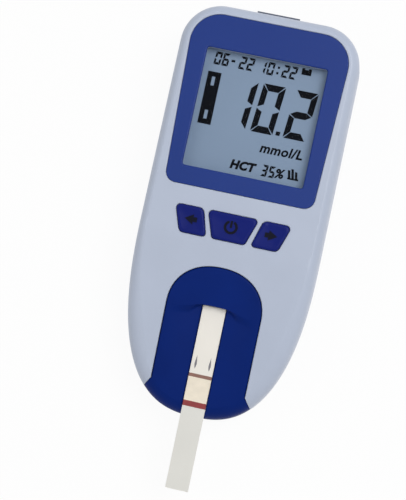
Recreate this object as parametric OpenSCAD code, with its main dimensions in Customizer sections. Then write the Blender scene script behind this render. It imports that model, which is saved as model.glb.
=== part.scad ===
// Handheld hemoglobin meter that reads a test strip, lying on its back.
// Millimetres. Origin in the middle of the back, X to the right, Y towards the display, Z out of the face.
// The face's length and height follow from what lies in the case, so the body grows with its parts.

/* [Body] */
// Distance from the window panel to the side of the head
side_gap = 3.5; // [3.4:0.1:4.2]
// How much further each side stands out beside the keys
bulge = 0.2; // [0.1:0.05:1]
// Radius of the two corners of the head in plan
corner_r = 13; // [11.5:0.5:14]
// Squareness of the tail in plan, where 2 is an ellipse
tail_power = 2.55; // [2.4:0.05:2.7]
// How far the face falls from the keys to the tail
tail_drop = 7.2; // [6.6:0.1:7.8]
// Width of the rounded edge of the face at the head
face_round = 3.4; // [3:0.1:3.4]
// Width of the rounded edge of the face at the tail
tail_round = 6.5; // [5.5:0.1:7]
// Height of the rounded edge of the face
edge_h = 5; // [4:0.1:6]
// Width of the rounded edge of the back
back_round = 4.5; // [3.5:0.1:5]
// Height of the rounded edge of the back
back_h = 5.5; // [4.5:0.1:6]
// How far the underside rises at the tail
tail_rise = 3; // [1:0.1:4]
// Lean of the side walls away from the seam
draft = 0.35; // [0.1:0.05:0.6]
// Thickness of the two shells
wall = 2; // [1.8:0.1:2.2]
// Height of the lip on the rear shell
lip_h = 1.2; // [0.8:0.1:1.6]

/* [Display] */
// Width of the clear part of the window
view_w = 37.5; // [36:0.1:40]
// Length of the clear part of the window
view_l = 37.1; // [36:0.1:40]
// Distance from the top end to the window panel
window_gap = 4; // [3.9:0.1:4.6]
// Width of the printed border above the clear part
border_top = 10.4; // [9.5:0.1:12]
// Width of the printed border below the clear part
border_foot = 5.8; // [5.5:0.1:7]
// Width of the printed border at the sides, along the top of the panel
border_side = 6.15; // [5:0.05:7]
// Width of the printed border at the sides, along the foot of the panel
border_side2 = 4.2; // [3.8:0.05:5]
// Radius of the panel's top corners
window_r = 9.1; // [8.5:0.1:10]
// Radius of the panel's bottom corners
window_r2 = 3.2; // [2:0.1:4]
// Thickness of the window panel
window_t = 1.5; // [1.2:0.1:1.8]
// Thickness of the printed border under the panel
mask_t = 0.1; // [0.05:0.05:0.2]
// Thickness of the shelf that carries the panel
shelf_t = 1.75; // [1.5:0.05:2]
// How far the glass reaches past the clear part
glass_rim = 1.3; // [1:0.1:1.5]
// Length of the contact ledge at the foot of the lower glass
glass_ledge = 1.8; // [1.6:0.1:2]
// Thickness of each of the two glass plates
glass_t = 1.3; // [1.1:0.1:1.4]
// Height of the reflector under the glass
reflector_t = 1.4; // [1.2:0.1:1.6]
// Thickness of the frame around the glass
lcd_frame_t = 0.9; // [0.7:0.1:1]
// Height of the large figures
digit_h = 15; // [13:0.5:15.5]
// Thickness of a segment
segment_t = 0.06; // [0.04:0.01:0.1]

/* [Keys] */
// Distance from the window panel to the keys
key_gap = 6.2; // [5.8:0.1:7]
// Length of the keys
key_l = 8.4; // [8:0.1:9.6]
// Half the width of the middle key at its top edge
key_mid = 7.9; // [7.6:0.1:8.4]
// Distance between two keys at their top edge
key_space = 1.5; // [1.2:0.05:1.6]
// Width of the outer keys
key_w = 8.7; // [8.4:0.1:9.2]
// Sideways lean of the keys' edges, for each millimetre of length
key_lean = 0.34; // [0.28:0.01:0.36]
// How far the keys stand out of the face
key_proud = 0.7; // [0.4:0.1:1]
// Travel of the keys
key_travel = 0.85; // [0.6:0.05:0.9]
// Gap round each key in the face
key_fit = 0.2; // [0.15:0.05:0.25]
// Thickness of the flange that keeps a key in
flange_t = 0.8; // [0.6:0.1:1]
// Thickness of the keypad mat
mat_t = 1; // [0.8:0.1:1.2]
// Height of the soft dome under each key
dome_h = 1.1; // [1:0.05:1.3]
// Thickness of a dome's wall
dome_t = 0.4; // [0.3:0.05:0.5]
// Radius of a dome at its foot
dome_r = 3.9; // [3.6:0.1:4]
// Radius of the carbon pill under each key
pill_r = 1.6; // [1.2:0.1:1.9]
// Thickness of a carbon pill
pill_t = 0.3; // [0.2:0.05:0.4]

/* [Tray] */
// Distance from the keys to the tray's arch
tray_gap = 8.2; // [7:0.1:9]
// Length of the tray from its arch to the tail
tray_l = 46.9; // [44:0.1:50]
// Half the width of the tray
tray_hw = 14.75; // [14:0.05:16]
// Length of the tray's arch
arch_l = 13.4; // [11:0.1:14]
// Squareness of the arch, where 2 is an ellipse
arch_power = 2.2; // [2:0.05:2.4]
// Length of the hood over the reading place
hood_l = 11.8; // [10.8:0.1:12.4]
// Distance from the tail to where the tray flares out
flare_gap = 9.7; // [9:0.1:11]
// Sideways lean of the flare, for each millimetre of length
flare_lean = 0.65; // [0.5:0.05:1]
// How far the tray lies below the shell's face
tray_sink = 0.3; // [0.2:0.05:0.4]
// Depth of the strip's path below the face at the hood
strip_depth = 3.3; // [3.1:0.1:3.5]
// Tilt of the strip's path
strip_tilt = 4.5; // [4:0.1:5]
// Thickness of the tray's floor
tray_floor = 2; // [1.6:0.1:2.2]
// Depth of the strip's channel
channel_d = 0.9; // [0.8:0.05:1.1]
// Width of the rim beside the scoop
tray_rim = 1.35; // [1:0.05:2]
// Gap round the tray
tray_fit = 0.2; // [0.15:0.05:0.3]
// Thickness of the well that takes the tray
well_t = 1.2; // [1:0.1:1.4]
// Depth of the tray's guide ridges
ridge_d = 0.6; // [0.4:0.05:0.7]
// Length of the tray's guide ridges
ridge_l = 17.5; // [12:0.5:20]

/* [Test strip] */
// Distance from the tray's arch to the strip's inner end
strip_stop = 1.9; // [1.6:0.1:3]
// Length of the strip beyond the tail
strip_out = 22.5; // [18:0.5:26]
// Width of the strip
strip_w = 7.2; // [7:0.05:8]
// Thickness of the strip's base
strip_t = 0.3; // [0.2:0.05:0.35]
// Thickness of the film on the base
film_t = 0.15; // [0.1:0.05:0.2]
// Width of the film
film_w = 5.2; // [4.6:0.1:6]
// Thickness of the reagent pad
reagent_t = 0.35; // [0.2:0.05:0.4]
// Gap beside the strip in its channel
strip_fit = 0.4; // [0.3:0.05:0.6]

/* [Boards] */
// Thickness of the boards
board_t = 1.2; // [1:0.1:1.4]
// Gap between the main board and the shell
board_gap = 0.9; // [0.6:0.1:1.2]
// Height of the sensor board's top
sensor_z = 8.8; // [8.2:0.1:9.2]
// Half the width of the optical block
block_hw = 7; // [6.6:0.1:7.4]
// Length of the optical block
block_l = 12; // [11:0.1:12.5]
// Radius of the lamps in the optical block
lamp_r = 1.5; // [1.3:0.05:1.6]
// Height of the lamps' straight part
lamp_h = 3; // [2.4:0.1:3.4]
// Length of the clear plate over the optical block
lens_l = 9; // [8:0.1:9.4]
// Thickness of the clear plate
lens_t = 0.8; // [0.6:0.05:0.9]
// Distance between the pins of the board header
pin_pitch = 2.54; // [2:0.01:2.6]
// Radius of the header's pins
pin_r = 0.32; // [0.25:0.01:0.35]
// Height of the header's body
header_h = 2.5; // [2:0.1:3]
// Width of the processor chip
processor_w = 8; // [7:0.1:9]
// Width of the memory chip
memory_w = 4; // [3:0.1:5]
// Length of the memory chip
memory_l = 5; // [4:0.1:5]
// Thickness of the chips
chip_t = 1.3; // [1:0.1:1.6]
// Length of the crystal
crystal_l = 7; // [5:0.1:8]
// Width of the crystal
crystal_w = 2.6; // [2:0.1:3]
// Thickness of the crystal
crystal_t = 1.8; // [1:0.1:2]
// Radius of a capacitor
capacitor_r = 2; // [1.5:0.1:2.2]
// Height of a capacitor
capacitor_h = 5; // [4:0.1:5.4]
// Radius of the buzzer
buzzer_r = 5.2; // [4:0.1:5.5]
// Height of the buzzer
buzzer_h = 3.2; // [2.4:0.1:4]
// Width of the data socket
socket_w = 7.7; // [7:0.1:8.2]
// Height of the data socket
socket_h = 3.9; // [3.6:0.1:4]
// Length of the data socket
socket_l = 8.4; // [8:0.1:9]
// Thickness of the socket's shell
socket_t = 0.35; // [0.3:0.05:0.5]
// Width of the tongue in the socket that carries its contacts
socket_tongue = 4.1; // [3.8:0.1:4.6]

/* [Batteries] */
// Diameter of a size AAA cell
cell_d = 10.3; // [10:0.1:10.5]
// Length of a cell with its button
cell_l = 44.5; // [44:0.1:45]
// Gap between two cells
cell_gap = 0.7; // [0.5:0.1:1]
// Length of a contact spring under load
spring_l = 4; // [3.6:0.1:4.4]
// Diameter of the springs' wire
spring_wire = 0.6; // [0.5:0.05:0.7]
// Thickness of the contact plates
plate_t = 0.4; // [0.3:0.05:0.5]
// Thickness of the battery bay's walls
bay_t = 1.2; // [1:0.1:1.4]
// Thickness of the bay's roof
roof_t = 1; // [0.8:0.1:1.4]
// Thickness of the battery cover
cover_t = 1.8; // [1.6:0.1:2]
// Depth of the cover below the back
cover_sink = 0.2; // [0.1:0.05:0.3]
// Gap round the battery cover
cover_fit = 0.2; // [0.15:0.05:0.3]
// Length of the cover's tongues
tongue_l = 2.2; // [1.8:0.1:2.4]
// Width of the cover's tongues
tongue_w = 6; // [5:0.5:8]
// Thickness of the cover's tongues
tongue_t = 1.35; // [1:0.05:1.5]
// Half the width of the cover's latch
latch_hw = 5; // [4:0.5:6]

/* [Port cover] */
// Width of the port cover
flap_w = 13.4; // [12.6:0.1:14]
// Height of the port cover
flap_h = 6.3; // [6:0.1:6.8]
// How far the port cover stands out of the top end
flap_proud = 0.9; // [0.4:0.05:1]
// Depth of the port cover's seat
flap_seat = 1; // [0.9:0.05:1.1]
// Gap round the port cover
flap_fit = 0.14; // [0.12:0.01:0.16]

/* [Screws] */
// Radius of the case screws
screw_r = 1.1; // [1:0.05:1.2]
// Length of the case screws
screw_l = 10; // [8:0.5:11]
// Radius of the case screws' heads
head_r = 2; // [1.8:0.05:2.1]
// Thickness of the case screws' heads
head_h = 1.4; // [1.2:0.1:1.6]
// Height where the case screws' heads seat
seat_z = 6; // [5:0.1:6.5]
// Radius of the board screws
board_screw_r = 0.9; // [0.8:0.05:1]
// Length of the board screws
board_screw_l = 5.2; // [4.8:0.1:5.6]
// Radius of the board screws' heads
board_head_r = 1.7; // [1.4:0.1:1.8]
// Thickness of the board screws' heads
board_head_h = 1.1; // [0.9:0.1:1.2]
// Running gap round the screws
screw_fit = 0.03; // [0.02:0.01:0.05]

/* [Hidden] */
$fn = 32;
big = 200;
touch = 0.02; // running gap between flat faces that slide on each other
slip = 0.1; // gap between parts that only drop into each other
corner_n = 7; // facets of a head corner
tail_n = 14; // facets of each side of the tail
round_steps = [0, 25, 48, 70, 90]; // angles of the rings round the edges of the face and the back

// Heights, from the batteries up to the face
cell_z = cover_sink + cover_t + 0.6 + cell_d / 2;
bay_top = cell_z + cell_d / 2 + 0.3;
board_under = bay_top + roof_t + 1.4;
board_z = board_under + board_t;
glass_z = board_z + reflector_t;
glass_top = glass_z + 2 * glass_t;
shelf_z = glass_top + 0.15;
pocket_z = shelf_z + shelf_t;
face_z = pocket_z + mask_t + window_t;
key_base = board_z + mat_t + dome_h;
pad_t = 0.05; // thickness of the contact pads
pill_z = board_z + pad_t + key_travel;
key_stop = key_base + flange_t + 0.05; // where the guides in the shell stop the keys' flanges
socket_z = board_under - socket_h;
flap_z = socket_z + socket_h / 2 - flap_h / 2;
seam_z = flap_z - 0.5;
join_z = seam_z + 2;
latch_z = cover_sink + cover_t + 1.2;

// Lengths, from the top end down to the tray: the face and the inside both have to fit
bay_l = cell_l + spring_l + 2 * plate_t + 0.1;
bay_gap = wall + 0.2 + socket_l + 0.45 + bay_t;
parts_l = 2 * buzzer_r + 0.85;
header_l = 3;
well_gap = tray_fit + well_t + 1.6;
face_l = window_gap + border_top + view_l + border_foot + key_gap + key_l + tray_gap;
inner_l = bay_gap + bay_l + bay_t + parts_l + header_l + well_gap;
body_l = max(face_l, inner_l) + tray_l;

top_y = body_l / 2;
tail_y = -body_l / 2;
window_y = top_y - window_gap;
view_y = window_y - border_top;
view_y0 = view_y - view_l;
window_y0 = view_y0 - border_foot;
key_y = window_y0 - key_gap;
key_y0 = key_y - key_l;
key_mid_y = key_y - key_l / 2;
mid_y = key_y0 + 0.5; // the widest place
tail_l = mid_y - tail_y;
arch_y = tail_y + tray_l;
hood_y = arch_y - hood_l;
flare_y = tail_y + flare_gap;
well_y = flare_y - 1.2; // the well's end wall starts here
apron_y = well_y - well_t - tray_fit;
lens_y = (hood_y + arch_y) / 2 - 0.35; // middle of the reading place
fall_y = key_y0 - 1; // the face falls from here to the tail
fall_power = 1.25;
blend_y = key_y - 5; // the edge of the face starts to widen here
blend_l = 40;
rise_l = 18;

// Widths
window_w = view_w + 2 * border_side;
window_w2 = view_w + 2 * border_side2;
head_w = window_w + 2 * side_gap;
body_w = head_w + 2 * bulge;
glass_w = view_w + 2 * glass_rim;
glass_y1 = view_y + glass_rim;
glass_y0 = view_y0 - glass_rim;
ledge_y = glass_y0 - glass_ledge;

board_half = head_w / 2 - wall - draft - board_gap;
board_top = top_y - wall - draft - board_gap - 1;
board_bottom = arch_y + well_gap;
header_y = board_bottom + 1.8;
bay_y1 = top_y - bay_gap;
bay_y0 = bay_y1 - bay_l;
parts_y = bay_y0 - bay_t;
cell_n = 3; // cells side by side
cell_pitch = cell_d + cell_gap;
cells_hw = cell_pitch * (cell_n - 1) / 2 + cell_d / 2 + 0.25;
bay_hw = cells_hw + 0.2;
pocket_hw = bay_hw + 2.4;
pocket_y1 = bay_y1 + 1.6;
pocket_y0 = bay_y0 - 5.8;
tongue_x = cells_hw * 0.6;
tab_x = bay_hw - 3;

boss_r = 2.5;
post_r = 2 * board_screw_r;
post_x = glass_w / 2 + lcd_frame_t + post_r + 0.15;
posts = [for (y = [view_y - 10, board_bottom + 4.3], s = [1, -1]) [s * post_x, y]];
tail_boss_x = tray_hw + tray_fit + well_t + 5.05;
bosses = [
    [head_w / 2 - 6.4, top_y - 8.5], [6.4 - head_w / 2, top_y - 8.5],
    [tail_boss_x, mid_y - tail_l / 2], [-tail_boss_x, mid_y - tail_l / 2]
];
foot_x = block_hw + 2.2; // the optical block's screws
foot_h = 1.6;
foot_r = 2.2;
sensor_hw = foot_x + 2.3;
lamp_x = 4;
flap_r = (flap_seat + flap_proud) / 2 - 0.025; // round of the port cover's lower edge
socket_y1 = top_y - wall - 0.2;

strip_z = face_at(hood_y) - strip_depth;
path_z = -tray_floor - tray_fit; // the well's floor, measured from the strip's underside
lens_v = lens_y - hood_y;
channel_hw = strip_w / 2 + strip_fit;
strip_in = (arch_y - strip_stop - hood_y) / cos(strip_tilt); // how far the strip reaches under the hood
strip_end = (tail_y - strip_out - hood_y) / cos(strip_tilt);

// A smooth step from 0 to 1
function smooth(s) = let (t = min(max(s, 0), 1)) t * t * (3 - 2 * t);

// Height of the face and of the back along the body
function face_at(y) = face_z - tail_drop * pow(max(0, fall_y - y) / (fall_y - tail_y), fall_power);
function back_at(y) = tail_rise * smooth((tail_y + rise_l - y) / rise_l);

// Height of the strip's underside along the body
function strip_at(y) = strip_z + (y - hood_y) * tan(strip_tilt);

// The rim in plan: each point has its place and its outward direction, from the top end to the tail
function corner_rim(a) = [
    head_w / 2 - corner_r * (1 - cos(a)), top_y - corner_r * (1 - sin(a)),
    cos(a), sin(a)
];
function tail_rim(t) = let (
    c = pow(cos(t), 2 / tail_power),
    s = pow(sin(t), 2 / tail_power),
    n = [pow(c, tail_power - 1) * tail_l, -pow(s, tail_power - 1) * body_w / 2]
) [body_w / 2 * c, mid_y - tail_l * s, n[0] / norm(n), n[1] / norm(n)];
half_rim = concat(
    [for (i = [0:corner_n]) corner_rim(90 * (1 - i / corner_n))],
    [for (i = [0:tail_n]) tail_rim(90 * i / tail_n)]
);
half_n = len(half_rim) - 1;
rim = concat(
    [for (p = half_rim) [-p[0], p[1], -p[2], p[3]]],
    [for (i = [half_n - 1:-1:0]) half_rim[i]]
);
rim_n = len(rim);

// Rings round the body, inset by g from the outside
function rim_at(p, inset, z) = [p[0] - p[2] * inset, p[1] - p[3] * inset, z];
function round_at(p) = face_round + (tail_round - face_round) * smooth((blend_y - p[1]) / blend_l);
function flat_ring(g, z) = [for (p = rim) rim_at(p, g, z)];
function face_ring(g, a) = [for (p = rim)
    let (r = round_at(p), z = face_at(p[1] - p[3] * r), s = g + draft)
    rim_at(p, s + (r - s) * (1 - cos(a)), z - edge_h + (edge_h - g) * sin(a))];
function back_ring(g, a) = [for (p = rim)
    let (z = back_at(p[1] - p[3] * back_round), s = g + draft)
    rim_at(p, s + (back_round - s) * (1 - cos(a)), z + back_h - (back_h - g) * sin(a))];

// A solid through rings that all have the rim's points, from the lowest to the highest
module body_loft(rings) {
    levels = len(rings);
    top = (levels - 1) * rim_n;
    sides = [for (j = [0:levels - 2], i = [0:rim_n - 1]) let (k = (i + 1) % rim_n, b = j * rim_n)
        each [[b + i, b + rim_n + i, b + rim_n + k], [b + i, b + rim_n + k, b + k]]];
    lids = [for (k = [0:half_n - 1]) let (a = rim_n - 1 - k)
        each k == half_n - 1 ? [[k, a, k + 1] + top * [1, 1, 1], [k, k + 1, a]]
            : [[k, a, a - 1, k + 1] + top * [1, 1, 1, 1], [k, k + 1, a - 1, a]]];
    polyhedron([for (r = rings) each r], concat(sides, lids));
}
last_step = len(round_steps) - 1;
module upper_body(g, z) body_loft(concat([flat_ring(g, z)], [for (a = round_steps) face_ring(g, a)]));
module lower_body(g, z) body_loft(
    concat([for (i = [last_step:-1:0]) back_ring(g, round_steps[i])], [flat_ring(g, z)])
);
module band(inset, z0, z1) body_loft([flat_ring(inset, z0), flat_ring(inset, z1)]);

// A closed outline with each corner rounded by its own radius
function fillet(a, b, c, r, n) = let (
    u = (a - b) / norm(a - b),
    v = (c - b) / norm(c - b),
    half = acos(u * v) / 2,
    m = b + (u + v) / norm(u + v) * r / sin(half),
    s = b + u * r / tan(half) - m,
    e = b + v * r / tan(half) - m,
    sweep = 180 - 2 * half,
    dir = s[0] * e[1] - s[1] * e[0] > 0 ? 1 : -1
) [for (i = [0:n]) let (t = dir * sweep * i / n)
    m + [s[0] * cos(t) - s[1] * sin(t), s[0] * sin(t) + s[1] * cos(t)]];
function rounded(p, r, n = 4) = [for (i = [0:len(p) - 1])
    each fillet(p[(i + len(p) - 1) % len(p)], p[i], p[(i + 1) % len(p)], r[i], n)];

// A solid through convex rings of as many points each, from the lowest to the highest
module ring_loft(rings) {
    n = len(rings[0]);
    last = (len(rings) - 1) * n;
    sides = [for (j = [0:len(rings) - 2], i = [0:n - 1]) let (k = (i + 1) % n, b = j * n)
        each [[b + i, b + n + i, b + n + k], [b + i, b + n + k, b + k]]];
    polyhedron([for (r = rings) each r], concat(sides,
        [[for (i = [0:n - 1]) i]], [[for (i = [n - 1:-1:0]) last + i]]));
}

module slab(x0, x1, y0, y1, z0, z1) translate([x0, y0, z0]) cube([x1 - x0, y1 - y0, z1 - z0]);
module post(x, y, r, z0, z1) translate([x, y, z0]) cylinder(r = r, h = z1 - z0);
module panel(x, y0, y1, r, z0, z1) translate([0, 0, z0]) linear_extrude(z1 - z0)
    polygon(rounded([[-x, y0], [x, y0], [x, y1], [-x, y1]], [r, r, r, r]));

// Places things along the strip's path: X across, Y along it, Z up from the strip's underside
module along_strip() translate([0, hood_y, strip_z]) rotate([strip_tilt, 0, 0]) children();
module path_slab(x, v0, v1, w0, w1) along_strip() slab(-x, x, v0, v1, w0, w1);

function window_shape(g) = rounded([
    [-window_w2 / 2 - g, window_y0 - g], [window_w2 / 2 + g, window_y0 - g],
    [window_w / 2 + g, window_y + g], [-window_w / 2 - g, window_y + g]
], [window_r2 + g, window_r2 + g, window_r + g, window_r + g], 6);
module view_hole(g, z0, z1) panel(view_w / 2 + g, view_y0 - g, view_y + g, 0.8, z0, z1);

// Outlines of the keys, grown by g; side is -1, 0 or 1
mid_lean = key_lean * key_l;
function mid_key(g) = rounded([
    [-key_mid + mid_lean - g, key_y0 - g], [key_mid - mid_lean + g, key_y0 - g],
    [key_mid + g, key_y + g], [-key_mid - g, key_y + g]
], [1.2, 1.2, 1.2, 1.2]);
key_in = key_mid + key_space;
side_lean = mid_lean * 0.87; // the outer keys lean a little less than the middle one
side_taper = 0.4;
function right_key(g) = rounded([
    [key_in - side_lean - g, key_y0 - g], [key_in + key_w - side_lean - side_taper + g, key_y0 - g],
    [key_in + key_w + g, key_y + g], [key_in - g, key_y + g]
], [1, 1.8, 1.3, 1.8]);
function mirrored(shape) = [for (i = [len(shape) - 1:-1:0]) [-shape[i][0], shape[i][1]]];
function key_shape(side, g) = side == 0 ? mid_key(g) : side > 0 ? right_key(g) : mirrored(right_key(g));
function key_x(side) = side * (key_in + key_w / 2 - side_lean / 2 - 0.1);
function at_z(shape, z) = [for (p = shape) [p[0], p[1], z]];

// Outline of the tray in plan, grown by g, open past the tail
function arch_point(t, g) = [
    (tray_hw + g) * pow(abs(cos(t)), 2 / arch_power) * sign(cos(t)),
    arch_y - arch_l + (arch_l + g) * pow(sin(t), 2 / arch_power)
];
flare_reach = flare_gap + 4.3;
function flare_side(g) = [
    [tray_hw + g + flare_lean * flare_reach, flare_y + 0.35 * g - flare_reach],
    [tray_hw + g, flare_y + 0.35 * g]
];
function tray_shape(g) = concat(
    [for (i = [0:16]) arch_point(180 * i / 16, g)],
    mirrored(flare_side(g)),
    flare_side(g)
);
module tray_prism(g, z0, z1) translate([0, 0, z0]) linear_extrude(z1 - z0) polygon(tray_shape(g));

module front_shell() color([0.69, 0.73, 0.8]) difference() {
    union() {
        difference() {
            upper_body(0, seam_z);
            upper_body(wall, seam_z - 1);
        }
        intersection() {
            upper_body(wall / 2, seam_z - 1);
            shell_inside();
        }
    }
    // rebate for the rear shell's lip
    difference() {
        band(wall / 2, seam_z - 1, seam_z + lip_h + slip);
        band(wall + 0.3, seam_z - 2, seam_z + lip_h + 1);
        slab(-big, big, -big, apron_y, 0, big);
    }
    // seat of the window panel, and the view through it
    translate([0, 0, pocket_z]) linear_extrude(big) polygon(window_shape(slip));
    view_hole(0.3, seam_z, big);
    for (s = [-1, 0, 1]) translate([0, 0, key_base - 1]) linear_extrude(big) polygon(key_shape(s, key_fit));
    // well of the tray, open at the tail
    intersection() {
        tray_prism(tray_fit, seam_z - 1, big);
        union() {
            path_slab(big, -big, big, path_z, big);
            slab(-big, big, -big, well_y - well_t, -big, big);
        }
    }
    // guide grooves
    along_strip() for (s = [-1, 1]) translate([s * (tray_hw + ridge_d / 2), 0, 0])
        slab(-ridge_d / 2 - 0.15, ridge_d / 2 + 0.15, -big, ridge_v + 1, -0.8, 0.6);
    // seat of the clear plate, and the light's way
    path_slab(lens_l / 2 + slip, lens_v - lens_l / 2 - slip, lens_v + lens_l / 2 + slip, path_z - lens_t, 0);
    path_slab(lens_l / 3, lens_v - lens_l / 2 + 1.3, lens_v + lens_l / 2 - 1.3, -big / 8, 0);
    // port opening and the seat of its cover
    slab(-socket_w / 2 - 0.8, socket_w / 2 + 0.8, top_y - wall - 3, big, socket_z - 0.3, board_under + 0.4);
    slab(-flap_w / 2 - flap_fit, flap_w / 2 + flap_fit, top_y - flap_seat - flap_fit, big,
        flap_z - flap_fit, flap_z + flap_h + flap_fit);
    // pilot holes
    for (p = bosses) post(p[0], p[1], screw_r + screw_fit, join_z - 1, seat_z + screw_l + 0.5);
    for (p = posts)
        post(p[0], p[1], board_screw_r + screw_fit, board_z - 1, board_under + board_screw_l + 0.2);
}

// What stands inside the front shell
module shell_inside() {
    difference() {
        slab(-head_w / 2, head_w / 2, window_y0 - 2, top_y, shelf_z, pocket_z + 0.5);
        view_hole(0, 0, big);
    }
    for (p = bosses) post(p[0], p[1], boss_r, join_z, face_z);
    for (p = posts) post(p[0], p[1], post_r, board_z, face_z);
    // guides round the keys
    for (s = [-1, 0, 1]) translate([0, 0, key_stop]) linear_extrude(face_z - wall / 2 - key_stop)
        polygon(key_shape(s, key_fit + 0.8));
    // wall and floor of the well
    intersection() {
        tray_prism(tray_fit + well_t, seam_z, face_z);
        slab(-big, big, well_y - well_t, big, 0, big);
        union() {
            path_slab(big, -big, big, path_z - well_t, big);
            slab(-big, big, well_y - well_t, well_y, 0, big);
        }
    }
    // block behind the port
    difference() {
        slab(-flap_w / 2 - 1.5, flap_w / 2 + 1.5, top_y - wall - 1.2, top_y, seam_z, flap_z + flap_h + 1.5);
        slab(-socket_w / 2 - 0.2, socket_w / 2 + 0.2, top_y - wall - 2, top_y - wall + 0.2, seam_z - 1, big);
    }
}

module rear_shell() color([0.69, 0.73, 0.8]) difference() {
    union() {
        difference() {
            lower_body(0, seam_z);
            lower_body(wall, seam_z + 1);
        }
        // lip inside the front shell
        difference() {
            band(wall / 2 + slip, seam_z - 1, seam_z + lip_h);
            band(wall, seam_z - 2, seam_z + lip_h + 1);
            slab(-big, big, -big, apron_y + slip, 0, big);
            slab(-flap_w / 2 - 1.7, flap_w / 2 + 1.7, 0, big, seam_z, big);
        }
        intersection() {
            lower_body(wall / 2, bay_top + bay_t + 1);
            bay_and_bosses();
        }
    }
    // seat of the battery cover, and the bay
    panel(pocket_hw, pocket_y0, pocket_y1, 2, -1, cover_sink + cover_t + slip);
    slab(-bay_hw, bay_hw, bay_y0, bay_y1, 0, bay_top);
    // slots for the contact tabs
    for (s = [-1, 1], y = [bay_y0, bay_y1])
        slab(s * tab_x - 1.8, s * tab_x + 1.8, y - 0.8, y + 0.8, bay_top - 1, big);
    // room for the cover's tongues and latch
    for (s = [-1, 1]) slab(s * tongue_x - tongue_w / 2 - 0.3, s * tongue_x + tongue_w / 2 + 0.3,
        pocket_y0 - 0.5, pocket_y0 + tongue_l + 2.2, 1, cover_sink + cover_t + 2.6);
    slab(-latch_hw - 0.4, latch_hw + 0.4, bay_y1 - 0.1, pocket_y1, 1, latch_z + 0.3);
    // case screw holes
    for (p = bosses) {
        post(p[0], p[1], head_r + 0.3, -1, seat_z);
        post(p[0], p[1], screw_r + 0.15, -1, join_z + 1);
    }
    for (s = [-1, 1]) post(s * foot_x, lens_y, board_screw_r + screw_fit, wall + 0.5, big);
    // shallow bare field on the back
    panel(16.5, hood_y - 5, arch_y + 4, 2, -1, 0.25);
}

// What stands inside the rear shell
module bay_and_bosses() {
    difference() {
        slab(-bay_hw - bay_t, bay_hw + bay_t, parts_y, bay_y1 + bay_t,
            cover_sink + cover_t, bay_top + roof_t);
        slab(-bay_hw, bay_hw, bay_y0, bay_y1, 0, bay_top);
    }
    panel(pocket_hw + 1.4, pocket_y0 + 1, pocket_y1 + 1.4, 2, 1, cover_sink + cover_t + 1.3);
    for (p = bosses) post(p[0], p[1], boss_r + 0.5, 0, join_z);
    for (s = [-1, 1]) post(s * foot_x, lens_y, foot_r, 0, sensor_z - board_t);
}

module display_window() color([0.75, 0.8, 0.88, 0.5]) translate([0, 0, pocket_z + mask_t])
    linear_extrude(window_t) polygon(window_shape(0));

module window_border() color([0.17, 0.22, 0.52]) difference() {
    translate([0, 0, pocket_z]) linear_extrude(mask_t) polygon(window_shape(0));
    view_hole(0, 0, big);
}

module lcd_glass() color([0.55, 0.6, 0.68]) {
    panel(glass_w / 2, ledge_y, glass_y1, 0.3, glass_z, glass_z + glass_t);
    panel(glass_w / 2, glass_y0, glass_y1, 0.3, glass_z + glass_t, glass_top - segment_t);
}

// One figure of up to seven bars, with its foot at the origin
// Order of the bars: top, upper left, upper right, middle, lower left, lower right, foot
bars = ["1110111", "0010010", "1011101", "1011011", "0111010", "1101011", "1101111"];
module figure(h, w, t, on) for (i = [0:6]) if (on[i] == "1") figure_bar(h, w, t, i);
module figure_bar(h, w, t, i) {
    flat = i == 0 || i == 3 || i == 6;
    len_b = flat ? w - t : h / 2 - t / 2;
    p = flat ? [w / 2, i == 0 ? h - t / 2 : i == 3 ? h / 2 : t / 2]
        : [i == 1 || i == 4 ? t / 2 : w - t / 2, i < 3 ? h * 0.75 - t / 8 : h * 0.25 + t / 8];
    e = len_b / 2 - 0.06 * t;
    m = e - t / 2;
    translate(p) rotate(flat ? 0 : 90)
        polygon([[-e, 0], [-m, -t / 2], [m, -t / 2], [e, 0], [m, t / 2], [-m, t / 2]]);
}
module leaning(x, y) multmatrix([[1, 0.12, 0, x], [0, 1, 0, y], [0, 0, 1, 0]]) children();
module figures(x, y, h, w, t, step, shapes) for (i = [0:len(shapes) - 1])
    leaning(x + i * step, y) figure(h, w, t, bars[shapes[i]]);
module small_figures(x, y, shapes) {
    h = digit_h * 0.22;
    figures(x, y, h, h * 0.6, h * 0.15, h * 0.8, shapes);
}

module lcd_segments() color([0.04, 0.05, 0.08]) translate([0, 0, glass_top - segment_t])
linear_extrude(segment_t) {
    w = digit_h * 0.56;
    t = digit_h * 0.13;
    left = -view_w / 2;
    right = view_w / 2;
    base = view_y - view_l * 0.64;
    row = view_y - digit_h * 0.22 - 1.6;
    figures(right - 3 * w - 3.6, base, digit_h, w, t, w + 0.9, [1, 0]);
    figures(right - w - 1.6, base, digit_h, w, t, 0, [2]);
    translate([right - w - 2.2, base + t / 2]) square(t * 0.7, center = true);
    translate([left + 2.2, base - 0.3]) difference() {
        square([4.2, digit_h + 1.2]);
        for (y = [2, digit_h - 3.2]) translate([1.3, y]) square([1.4, 2.6]);
    }
    small_figures(left + 4.2, row, [0, 6]);
    small_figures(left + 11.3, row, [2, 2]);
    small_figures(right - 13.6, row, [1, 0]);
    small_figures(right - 7.6, row, [2, 2]);
    small_figures(right - 9.6, view_y0 + 1.7, [3, 5]);
}

module lcd_reflector() color([0.9, 0.9, 0.88])
    panel(glass_w / 2 - 0.6, glass_y0, glass_y1 - 0.6, 0.3, board_z, glass_z);

module lcd_frame() color([0.85, 0.85, 0.83]) difference() {
    panel(glass_w / 2 + lcd_frame_t, ledge_y - lcd_frame_t, glass_y1 + lcd_frame_t, 0.8, board_z, shelf_z);
    panel(glass_w / 2 + 0.05, ledge_y - 0.05, glass_y1 + 0.05, 0.3, board_z - 1, shelf_z + 1);
}

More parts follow.
